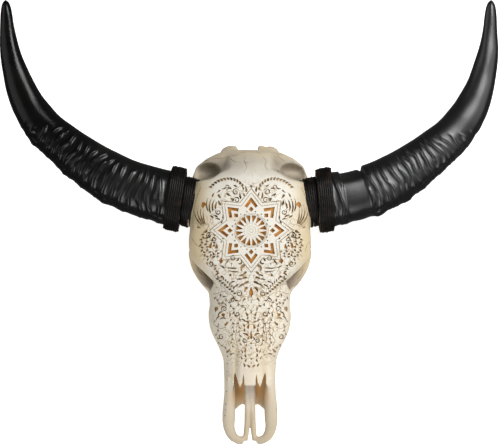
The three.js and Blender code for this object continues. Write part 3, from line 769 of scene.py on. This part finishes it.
def cutterObjects(work):
    made = []
    for group, slots in work.groups.items():
        for share in range(carving["cutters"]):  # neighbours go to different ones, so none crosses itself
            bm = bmesh.new()
            for outline, depth in slots[share::carving["cutters"]]:
                ring = [(u + carving["centre"][0], v + carving["centre"][1]) for u, v in outline]
                heights = [faceHeight(u, v) for u, v in ring]
                top = max(heights) + carving["lift"]
                for vert in extruded(bm, ring, top)[1]:
                    under = max(heights) if group == "muzzle" else faceHeight(vert.co.x, vert.co.y)
                    vert.co.z = under - depth
            bmesh.ops.recalc_face_normals(bm, faces=bm.faces[:])
            made.append((group, scratchObject(bm, group + "Cutter" + str(share))))
    return made


engraving = dict(
    size=0.9, step=2.2, tipShare=0.35,
    starLines=((73, 52, 1.15), (65.5, 46, 0.95)),  # reach of the tips, of the valleys, and width
    rings=((27.2, 0.9), (29.6, 0.7), (12.5, 0.6), (8, 0.6), (3.6, 0.7)),  # radius and width
    fan=dict(lines=5, size=0.8, outer=[(-100, 44), (-101, 30), (-97, 15), (-88, 5)],
             inner=[(-82, 48), (-84, 32), (-84, 15), (-82, 5)]),
    curls=[  # flowing lines, mirrored
        [(-70, -70), (-58, -88), (-42, -106), (-26, -118)],
        [(-66, -146), (-66, -162), (-54, -171), (-42, -168)],
        [(-68, -112), (-60, -110), (-48, -106), (-40, -112)],
        [(-90, -46), (-84, -42), (-80, -47), (-85, -52)],
        [(-40, -172), (-37, -182), (-41, -194), (-36, -202)],
        [(-26, -159), (-25, -168), (-27, -186), (-25, -198)],
    ],
    cracks=[  # seams and age cracks, as they fall
        [(-84, 121), (-66, 126), (-50, 127), (-36, 131), (-22, 133),
         (-8, 138), (6, 137), (22, 135), (40, 136), (58, 131)],
        [(-38, 127), (-30, 121), (-22, 119), (-12, 120), (-4, 117)],
        [(46, 134), (52, 126), (60, 121)],
        [(-104, -10), (-98, -22), (-90, -28), (-84, -30)],
        [(104, -18), (97, -26), (94, -38)],
        [(-74, 118), (-64, 112), (-60, 104)],
        [(20, 130), (26, 122), (24, 112), (30, 104)],
        [(-8, 132), (-12, 122), (-8, 110), (-13, 100)],
        [(70, 122), (80, 116), (84, 106)],
        [(-96, -62), (-90, -74), (-82, -80)],
        [(92, -66), (88, -78), (80, -86)],
    ],
    crack=dict(size=0.8, step=2.4, shake=1.3, grain=4),
)


def engravedLines():  # route, width, whether it closes, and the cutter that it goes to
    lines = []
    for tip, valley, size in engraving["starLines"]:
        corners = []
        for k in range(star["points"] * 2):
            angle = math.pi / 2 + math.pi * k / star["points"]
            reach = valley if k % 2 else tip
            corners.append(np.array((reach * math.cos(angle), reach * math.sin(angle))))
        route = []
        for a, b in zip(corners, corners[1:] + corners[:1]):
            route += [a + (b - a) * t for t in np.linspace(0, 1, 10, endpoint=False)]
        lines.append((route, size, True, 0))
    for radius, size in engraving["rings"]:
        turns = np.linspace(0, 2 * math.pi, max(16, int(radius * 2.4)), endpoint=False)
        lines.append(([(radius * math.cos(t), radius * math.sin(t)) for t in turns], size, True, 0))
    fan = engraving["fan"]
    outer, inner = np.array(fan["outer"]), np.array(fan["inner"])
    for k in range(fan["lines"]):
        route = outer + (inner - outer) * (k / (fan["lines"] - 1))
        lines.append((smoothPath(route, engraving["step"]), fan["size"], False, 1 + k % 2))
    stems = [row["route"] for row in commaRows if row["alternate"]]
    for k, route in enumerate(engraving["curls"] + stems):
        lines.append((smoothPath(route, engraving["step"]), engraving["size"], False, 3 + k % 3))
    for route, size, closed, group in list(lines):
        if not closed:
            lines.append(([(-p[0], p[1]) for p in route], size, False, group))
    crack = engraving["crack"]
    for route in engraving["cracks"]:
        path = smoothPath(route, crack["step"])
        spots = [Vector((u / crack["grain"], v / crack["grain"], 5)) for u, v in path]
        shaken = [(u, v + crack["shake"] * noise.noise(spot)) for (u, v), spot in zip(path, spots)]
        lines.append((shaken, crack["size"], False, 6))
    return lines


def grooveObjects():
    lines = engravedLines()
    made = []
    for group in sorted({line[3] for line in lines}):
        curve = bpy.data.curves.new("grooves", "CURVE")
        curve.dimensions = "3D"
        curve.bevel_depth = 1
        curve.bevel_resolution = 0
        curve.use_fill_caps = True
        for route, size, closed, own in lines:
            if own != group:
                continue
            spline = curve.splines.new("POLY")
            spline.use_cyclic_u = closed
            spline.points.add(len(route) - 1)
            for k, (point, (du, dv)) in enumerate(zip(spline.points, route)):
                u, v = du + carving["centre"][0], dv + carving["centre"][1]
                point.co = (u, v, faceHeight(u, v), 1)
                atEnd = not closed and k in (0, len(route) - 1)
                point.radius = size * (engraving["tipShare"] if atEnd else 1)
        holder = bpy.data.objects.new("grooves", curve)
        scene.collection.objects.link(holder)
        mesh = baked(holder)
        bpy.data.objects.remove(holder)
        bm = bmesh.new()
        bm.from_mesh(mesh)
        bpy.data.meshes.remove(mesh)
        bmesh.ops.remove_doubles(bm, verts=bm.verts[:], dist=1e-4)
        bmesh.ops.recalc_face_normals(bm, faces=bm.faces[:])
        made.append(("groove", scratchObject(bm, "grooveCutter" + str(group))))
    return made


teeth = dict(
    count=6, first=178, shortest=16, growth=3.3, gap=0.6, across=45, swing=13, run=150, gums=-99, floor=-175,
    inside=28, outside=150, cuspShare=0.8, cuspLength=40,
    places=((0, 3.6, 2.2), (0.36, 1.6, 0.5), (0.68, 1.6, 0.5)),  # share of a tooth, groove's width and depth
)


def toothGrooves():  # each groove's place along the row, width, depth, and the chewing surface there
    found = []
    start = teeth["first"]
    for k in range(teeth["count"]):
        length = teeth["shortest"] + teeth["growth"] * k
        for share, size, sunk in teeth["places"]:
            v = start + share * length - teeth["gap"] / 2
            under = rest["heelW"] - (v - rest["heelV"]) * math.tan(rest["tilt"])
            found.append((v, size, sunk, under))
        start += length + teeth["gap"]
    return found[1:]


def toothCutter(side):  # grooves between the cheek teeth and shallow flutes down each crown
    bm = bmesh.new()
    tall = teeth["gums"] - teeth["floor"]
    for v, size, sunk, under in toothGrooves():
        for edge, begin in ((-1, 0), (1, teeth["outside"])):
            spot = Vector((side * begin, v, (teeth["gums"] + under) / 2))
            hit = boneTree.ray_cast(spot, Vector((-side * edge, 0, 0)))[0]
            if hit and abs(hit.x) > teeth["inside"]:
                place = Matrix.Translation((hit.x + side * edge * (1 - sunk), v, teeth["gums"] - tall / 2))
                bmesh.ops.create_cone(bm, cap_ends=True, segments=10, radius1=size, radius2=size / 2,
                                      depth=tall, matrix=place)
    return scratchObject(bm, "toothCutter")


def cuspCutter(side):  # notches across the chewing surface
    bm = bmesh.new()
    for v, size, sunk, under in toothGrooves():
        bow = math.sin(math.pi / 2 * (v - teeth["first"]) / teeth["run"])
        middle = teeth["across"] + teeth["swing"] * bow
        place = Matrix.Translation((side * middle, v, under)) @ Matrix.Rotation(math.pi / 2, 4, "Y")
        radius = size * teeth["cuspShare"]
        bmesh.ops.create_cone(bm, cap_ends=True, segments=8, radius1=radius, radius2=radius,
                              depth=teeth["cuspLength"], matrix=place)
    return scratchObject(bm, "cuspCutter")


def dropCrumbs(mesh):  # merges hair-fine slivers that the cuts leave, and deletes flaps and loose crumbs
    bm = bmesh.new()
    bm.from_mesh(mesh)
    bmesh.ops.remove_doubles(bm, verts=bm.verts[:], dist=skull["merge"])
    bmesh.ops.dissolve_degenerate(bm, dist=skull["merge"], edges=bm.edges[:])
    flaps = [f for f in bm.faces if sum(e.is_boundary for e in f.edges) > 1]
    bmesh.ops.delete(bm, geom=flaps, context="FACES")
    waiting = set(bm.verts)
    crumbs = []
    while waiting:
        island = [waiting.pop()]
        for vert in island:
            for edge in vert.link_edges:
                other = edge.other_vert(vert)
                if other in waiting:
                    waiting.remove(other)
                    island.append(other)
        if len(island) < skull["crumb"]:
            crumbs += island
    bmesh.ops.delete(bm, geom=crumbs, context="VERTS")
    bm.to_mesh(mesh)
    bm.free()


def carveBone():
    work = Carving()
    carveStar(work)
    carveSlits(work)
    cutters = grooveObjects() + cutterObjects(work)
    for side in (-1, 1):
        cutters += [("tooth", toothCutter(side)), ("tooth", cuspCutter(side))]
    amberTrees = [treeOf(cutter.data) for group, cutter in cutters if group == "amber"]
    carved = whole
    for group, cutter in cutters:
        holder = bpy.data.objects.new("carved", carved)
        scene.collection.objects.link(holder)
        cut = holder.modifiers.new(group, "BOOLEAN")
        cut.operation = "DIFFERENCE"
        cut.solver = "MANIFOLD"
        cut.object = cutter
        carved = baked(holder)
        dropObject(holder)
    for group, cutter in cutters:
        dropObject(cutter)
    dropCrumbs(carved)
    return carved, amberTrees


cavity = dict(depth=(12, 50), back=(200, 30), front=(60, 95), side=(42, 10), low=(-71, -67),
              bars=(11, 16), floor=(58, 62))
# where painted light makes the muzzle's middle bars paler
bar = dict(side=(11, 13), front=(48, 88), back=(105, 125), top=(-50, -40))
# the bowl around each eye socket that takes painted shade
orbitShade = dict(at=(99, 303, -36), size=(46, 36, 29), rim=(1.02, 1.22), out=(112, 52))
laceArea = dict(middle=-10, size=(86, 98), rim=(0.8, 1.05), tip=(-245, -225), tipWidth=30, widening=0.2,
                fade=10, top=(60, 100), star=(58, 70))
enamel = dict(depth=(118, 126), front=(150, 200), back=(360, 12))
amberCut = dict(near=0.05, depth=0.3)
tintFades = dict(flankShade=(0.1, 0.75), temple=(-90, -60), furrowShade=(-60, -30), lace=(-60, -30))


def markHollows(mesh, amberTrees):  # numbers at each vertex, from which the bone's tints follow
    hollow, amber, flankShade = [], [], []
    for vert in mesh.vertices:
        normal, depth = boneTree.find_nearest(vert.co)[1::2]
        hollow.append(depth)
        flankShade.append(1 - normal.z)
        found = depth > amberCut["depth"] and any(
            tree.find_nearest(vert.co, amberCut["near"])[0] for tree in amberTrees)
        amber.append(1 if found else 0)
    setShare(mesh, "hollow", hollow)
    setShare(mesh, "amber", amber)
    # painted shade: grows as the surface tilts away from facing out of the forehead
    setShare(mesh, "flankShade", ramp(np.array(flankShade), *tintFades["flankShade"]))

    u, v, w = pointsOf(mesh).T
    side = np.abs(u)
    # painted shade in the hollows behind the forehead's rim
    setShare(mesh, "temple", templeDepth(u, v) * ramp(w, *tintFades["temple"]))
    # painted shade in the furrow between nose and cheek
    setShare(mesh, "furrowShade", furrowDepth(u, v) * ramp(w, *tintFades["furrowShade"]))

    walls = np.maximum(ramp(-w, *cavity["floor"]), ramp(side, *cavity["bars"]))  # leaves the middle bars pale
    inside = ramp(-w, *cavity["depth"]) * fadeOut(v, *cavity["back"]) * ramp(v, *cavity["front"])
    setShare(mesh, "cavity", inside * fadeOut(side, *cavity["side"]) * walls * ramp(w, *cavity["low"]))
    # painted light on the muzzle's middle bars
    pale = (1 - ramp(side, *bar["side"])) * ramp(v, *bar["front"]) * (1 - ramp(v, *bar["back"]))
    setShare(mesh, "bar", pale * (1 - ramp(w, *bar["top"])))
    row = ramp(v, *enamel["front"]) * fadeOut(v, *enamel["back"])
    setShare(mesh, "tooth", ramp(-w, *enamel["depth"]) * row)

    # painted shade inside a bowl around each eye socket, fading outwards
    axes = zip((side, v, w), orbitShade["at"], orbitShade["size"])
    bowl = sum(((place - at) / size) ** 2 for place, at, size in axes)
    setShare(mesh, "orbitShade", (1 - ramp(bowl, *orbitShade["rim"])) * fadeOut(side, *orbitShade["out"]))

    su, sv = u - carving["centre"][0], v - carving["centre"][1]
    oval = (su / laceArea["size"][0]) ** 2 + ((sv - laceArea["middle"]) / laceArea["size"][1]) ** 2
    forehead = 1 - ramp(oval, *laceArea["rim"])
    reach = laceArea["tipWidth"] + laceArea["widening"] * (sv - laceArea["tip"][0])
    nose = ramp(sv, *laceArea["tip"]) * (1 - ramp(np.abs(su) - reach, 0, laceArea["fade"]))
    nose *= ramp(-sv, *laceArea["top"])
    lace = np.maximum(forehead, nose) * ramp(np.hypot(su, sv), *laceArea["star"])
    setShare(mesh, "lace", lace * ramp(w, *tintFades["lace"]))


carved, amberTrees = carveBone()
print("carving cut:", len(carved.polygons), "faces")
markHollows(carved, amberTrees)
carved.shade_smooth()
carved.set_sharp_from_angle(angle=skull["sharp"])
addPiece("carvedSkull", carved, bone, skull["nodes"])


# horns

horns = dict(
    stations=[(109, 427, -28), (167, 441, -30), (214, 456, -33), (262, 480, -37), (322, 523, -42),
              (357, 553, -44), (384, 588, -44), (402, 625, -42), (413, 659, -39), (421, 693, -34),
              (425, 724, -30), (428, 780, -20)],
    rightTuck=6, rightSag=8, sagPower=0.65,  # the right horn hangs lower and turns in
    radii=[(0, 48), (0.15, 47), (0.28, 45), (0.4, 40), (0.5, 35.5), (0.6, 32), (0.7, 26), (0.8, 19.5),
           (0.9, 13.2), (0.95, 10.4), (0.98, 7.6), (0.993, 4.6), (1, 0.8)],
    depthShare=(0.8, 0.96), squareness=(2.5, 2.0),
    pinch=dict(share=0.2, until=(11, 14)),  # the root is thinner under the inner band
    step=1.15, sides=92,
)
relief = dict(
    ridgeHeight=4.4, ridgeSink=0.9, keel=1.7, knob=4.2, swell=1.0, panelDrop=3.6, stepNotch=6.5, edgeEnd=0.68,
    wander=0.85, shiver=0.17,  # how far the wrinkles leave their even steps
    lengths=dict(wander=40, shiver=14, breaks=19, ends=11, lip=18, gaps=30, knobs=19, swell=45),
    left=dict(ridges=(0.06, 0.57), step=16, sharp=3.2, panel=None, seed=3),
    right=dict(ridges=(0.06, 0.54), step=12.5, sharp=5, panel=(0.105, 0.186), seed=11),
)


def hornRoute(side, stations):
    last = len(horns["stations"]) - 1
    route = []
    for k, (u, v, w) in enumerate(stations):
        share = k / last
        tuck = horns["rightTuck"] * share**3 if side > 0 else 0
        sag = horns["rightSag"] * math.sin(math.pi * share ** horns["sagPower"]) if side > 0 else 0
        route.append((side * (u - tuck), v - sag, w))
    return route


def hornMesh(side):
    path = smoothPath(hornRoute(side, horns["stations"]), horns["step"])
    out, rise = framesAlong(path)[1:]
    rings = len(path)
    t = np.linspace(0, 1, rings)
    fine = smoothPath(horns["radii"], 0.2)
    radius = np.interp(t, fine[:, 0], fine[:, 1])
    turns = np.linspace(0, 2 * math.pi, horns["sides"], endpoint=False)
    along = np.arange(rings) * horns["step"]
    radius *= 1 - horns["pinch"]["share"] * (1 - ramp(along, *horns["pinch"]["until"]))
    rootSquare, tipSquare = horns["squareness"]
    rootDepth, tipDepth = horns["depthShare"]
    shape = np.zeros((rings, horns["sides"], 3))
    for k in range(rings):
        power = 2 / (rootSquare + (tipSquare - rootSquare) * t[k])
        depth = rootDepth + (tipDepth - rootDepth) * t[k]
        across = signedPower(np.cos(turns), power)
        upward = signedPower(np.sin(turns), power)
        lower = across * -side  # 1 on the lower edge, -1 on the upper
        ridge = [hornRelief(along[k], t[k], math.sin(turn), low, side) for turn, low in zip(turns, lower)]
        reach = radius[k] + np.array(ridge)
        shape[k] = path[k] + np.outer(across * reach, out[k]) + np.outer(upward * reach * depth, rise[k])
    return rolledTube("hornLeft" if side < 0 else "hornRight", shape)


def ease(value, low, high):  # ramp for a single number
    t = min(1, max(0, (value - low) / (high - low)))
    return t * t * (3 - 2 * t)


def hornRelief(along, t, front, lower, side):  # wrinkles across the front, a keel and knobs on the lower edge
    look = relief["left"] if side < 0 else relief["right"]
    seed = look["seed"]
    step = {name: along / length for name, length in relief["lengths"].items()}
    wander = noise.noise(Vector((step["wander"], front * 0.8 + seed, lower))) * relief["wander"]
    wander += noise.noise(Vector((step["shiver"], seed, lower * 2.6))) * relief["shiver"]
    phase = along / look["step"] + wander + 0.35 * lower * lower
    ridge = (0.5 + 0.5 * math.cos(2 * math.pi * phase)) ** look["sharp"]
    broken = ease(noise.noise(Vector((step["breaks"], front * 0.5 + seed, lower * 1.3))), -0.55, -0.1)
    ends = lower + 0.3 * noise.noise(Vector((step["ends"], seed, 4)))
    face = ease(front, -0.6, 0.2) * ease(ends, -0.85, -0.5) * (1 - 0.8 * ease(lower, 0.66, 0.8))
    first, last = look["ridges"]
    span = ease(t, first, first + 0.02) * ease(last + 0.07 * lower - t, 0, 0.06)
    height = 0
    if look["panel"]:  # a worn, smooth length between two steps
        start, end = look["panel"]
        worn = ease(t, start - 0.004, start + 0.004) * (1 - ease(t, end - 0.008, end + 0.004))
        span *= 1 - worn
        height -= worn * relief["panelDrop"] * (ease(front, -0.4, 0.4) + ease(-lower, 0.5, 0.9))
        height -= relief["stepNotch"] * math.exp(-(((t - end) / 0.007) ** 2)) * ease(-lower, 0.3, 0.9)
    height += ridge * (0.12 + 0.88 * broken) * relief["ridgeHeight"] * face * span
    height -= relief["ridgeSink"] * span
    edge = ease(relief["edgeEnd"] - t, 0, 0.12)
    lip = 0.8 + 0.13 * noise.noise(Vector((step["lip"], seed, 8)))
    edge *= ease(noise.noise(Vector((step["gaps"], seed, 13))), -0.45, 0.2)
    height -= relief["keel"] * math.exp(-(((lower - lip) / 0.05) ** 2)) * edge * ease(front, -0.2, 0.1)
    bulge = noise.noise(Vector((step["knobs"], lower * 0.5, seed)))
    height += bulge * relief["knob"] * ease(lower, 0.8, 0.97) * edge
    height += noise.noise(Vector((step["swell"], front, lower + seed))) * relief["swell"]
    return height


for name, side, node in (("hornLeft", -1, "horn_left"), ("hornRight", 1, "horn_right")):
    addPiece(name, hornMesh(side), horn, [node])


# cord bands

bands = dict(
    core=[(62, 417, -26), (90, 421, -27)], stations=4, pathStep=0.5,
    size=4.6, press=1.06, sides=10, step=0.9, twist=9.0, strands=3, lobe=0.2,
    squareness=2.4, barrel=1.6, slack=1.1, lean=4.5,
    inner=dict(start=33, end=59, wide=44, deep=38),
    outer=dict(start=56, end=86, wide=57, deep=46),
    sleeve=dict(inset=1.5, rows=24, sides=48, overlap=0.8),  # keeps light from showing between the turns
)


def windingPath(side):
    route = [(side * u, v, w) for u, v, w in bands["core"]]
    return smoothPath(route + hornRoute(side, horns["stations"][:bands["stations"]]), bands["pathStep"])


def sampled(field, at):  # a field's values at places along the winding's path
    steps = np.arange(len(field))
    return np.stack([np.interp(at / bands["pathStep"], steps, field[:, k]) for k in range(3)], 1)


def woundCord(name, side, band, thick):
    path = windingPath(side)
    ahead, out, rise = framesAlong(path)
    turnsCount = round((band["end"] - band["start"]) / bands["size"])
    length = math.pi * (band["wide"] + band["deep"]) * turnsCount
    rings = int(length / bands["step"])
    places = np.linspace(0, 1, rings)
    angle = 2 * math.pi * turnsCount * places
    at = band["start"] + thick + (band["end"] - band["start"] - 2 * thick) * places
    at += bands["lean"] * side * np.cos(angle)
    power = 2 / bands["squareness"]
    loose = np.array([noise.noise(Vector((k / turnsCount * 5, math.cos(a) * 0.8, math.sin(a) * 0.8 + side)))
                      for k, a in zip(places * turnsCount, angle)])
    barrel = bands["barrel"] * np.abs(2 * places - 1) ** 4
    wide = band["wide"] - thick - barrel + bands["slack"] * loose
    deep = band["deep"] - thick - barrel + bands["slack"] * loose
    across = (signedPower(np.cos(angle), power) * wide)[:, None]
    upward = (signedPower(np.sin(angle), power) * deep)[:, None]
    centre = sampled(path, at) + sampled(out, at) * across + sampled(rise, at) * upward
    tangent = unit(np.gradient(centre, axis=0))
    first = sampled(ahead, at)
    first -= tangent * np.sum(first * tangent, axis=1)[:, None]
    first = unit(first)
    second = np.cross(tangent, first)
    lay = 2 * math.pi * (places * length) / (bands["twist"] * bands["strands"])
    shape = np.zeros((rings, bands["sides"], 3))
    for j, turn in enumerate(np.linspace(0, 2 * math.pi, bands["sides"], endpoint=False)):
        lobes = np.abs(np.cos(bands["strands"] / 2 * (turn - lay)))
        reach = thick * (1 - bands["lobe"] + bands["lobe"] * lobes)[:, None]
        shape[:, j] = centre + first * math.cos(turn) * reach + second * math.sin(turn) * reach
    return rolledTube(name, shape)


def bandSleeve(name, side, band, thick):
    path = windingPath(side)
    out, rise = framesAlong(path)[1:]
    sleeve = bands["sleeve"]
    power = 2 / bands["squareness"]
    turns = np.linspace(0, 2 * math.pi, sleeve["sides"], endpoint=False)
    across = signedPower(np.cos(turns), power)[:, None] * (band["wide"] - 2 * thick + sleeve["overlap"])
    upward = signedPower(np.sin(turns), power)[:, None] * (band["deep"] - 2 * thick + sleeve["overlap"])
    rows = []
    for spot in np.linspace(band["start"] + sleeve["inset"], band["end"] - sleeve["inset"], sleeve["rows"]):
        at = spot + bands["lean"] * side * np.cos(turns)
        rows.append(sampled(path, at) + across * sampled(out, at) + upward * sampled(rise, at))
    return rolledTube(name + "Sleeve", np.stack(rows))


def cordMesh(name, side, band):
    thick = bands["size"] / 2 * bands["press"]
    mesh = woundCord(name, side, band, thick)
    under = bandSleeve(name, side, band, thick)
    bm = bmesh.new()
    bm.from_mesh(mesh)
    bm.from_mesh(under)
    bm.to_mesh(mesh)
    bm.free()
    bpy.data.meshes.remove(under)
    mesh.shade_smooth()
    return mesh


for label, side in (("Left", -1), ("Right", 1)):
    for kind in ("inner", "outer"):
        name = "cord" + kind.capitalize() + label
        node = "cord_" + kind + "_" + label.lower()
        addPiece(name, cordMesh(name, side, bands[kind]), cord, [node])


# floor, light and camera

studio = dict(
    floorSize=40, floorColour=(0.86, 0.86, 0.86), floorGlow=0.65, worldColour=(1, 1, 1), worldStrength=0.07,
)
floorMesh = bmesh.new()
bmesh.ops.create_grid(floorMesh, x_segments=1, y_segments=1, size=studio["floorSize"] / 2)
floor = scratchObject(floorMesh, "paleFloor")
floorFinish = Finish("paleFloor")
floor.data.materials.append(floorFinish.close({
    "Base Color": studio["floorColour"], "Roughness": 0.9, "Specular IOR Level": 0.1,
    "Emission Color": (1, 1, 1), "Emission Strength": studio["floorGlow"],
}))
floor.visible_glossy = False  # keeps the black horns from mirroring it

world = bpy.data.worlds.new("softRoom")
world.use_nodes = True
world.node_tree.nodes["Background"].inputs["Color"].default_value = (*studio["worldColour"], 1)
world.node_tree.nodes["Background"].inputs["Strength"].default_value = studio["worldStrength"]
scene.world = world

lamps = [
    dict(name="keyLamp", place=(0.85, 0.45, 1.55), aim=(0.1, 0.12, 0.1), size=(0.9, 1.0), power=31),
    dict(name="leftLamp", place=(-2.4, 0.0, 1.4), aim=(0, 0, 0.1), size=(2.2, 2.2), power=15),
    dict(name="rightLamp", place=(2.3, -0.2, 1.4), aim=(0.1, 0, 0.1), size=(1.2, 1.6), power=11),
    dict(name="frontLamp", place=(-0.2, -2.2, 1.7), aim=(0, -0.1, 0.1), size=(2.4, 1.2), power=36),
]
for lamp in lamps:
    data = bpy.data.lights.new(lamp["name"], "AREA")
    data.shape = "RECTANGLE"
    data.size, data.size_y = lamp["size"]
    data.energy = lamp["power"]
    holder = bpy.data.objects.new(lamp["name"], data)
    holder.location = lamp["place"]
    holder.rotation_euler = (Vector(lamp["aim"]) - Vector(lamp["place"])).to_track_quat("-Z", "Y").to_euler()
    scene.collection.objects.link(holder)

lens = dict(elevation=math.radians(79), distance=6.0, width=0.875, aim=(0, 390, -20), sensor=36, farthest=40)
aim = faceToPart @ Vector(lens["aim"])
back = Vector((0, -math.cos(lens["elevation"]), math.sin(lens["elevation"])))
camera = bpy.data.objects.new("camera", bpy.data.cameras.new("camera"))
camera.location = aim + back * lens["distance"]
camera.rotation_euler = (-back).to_track_quat("-Z", "Y").to_euler()
camera.data.sensor_width = lens["sensor"]
camera.data.lens = lens["sensor"] * lens["distance"] / lens["width"]
camera.data.clip_end = lens["farthest"]
scene.collection.objects.link(camera)
scene.camera = camera
scene.view_settings.view_transform = "Standard"
print("stage set")
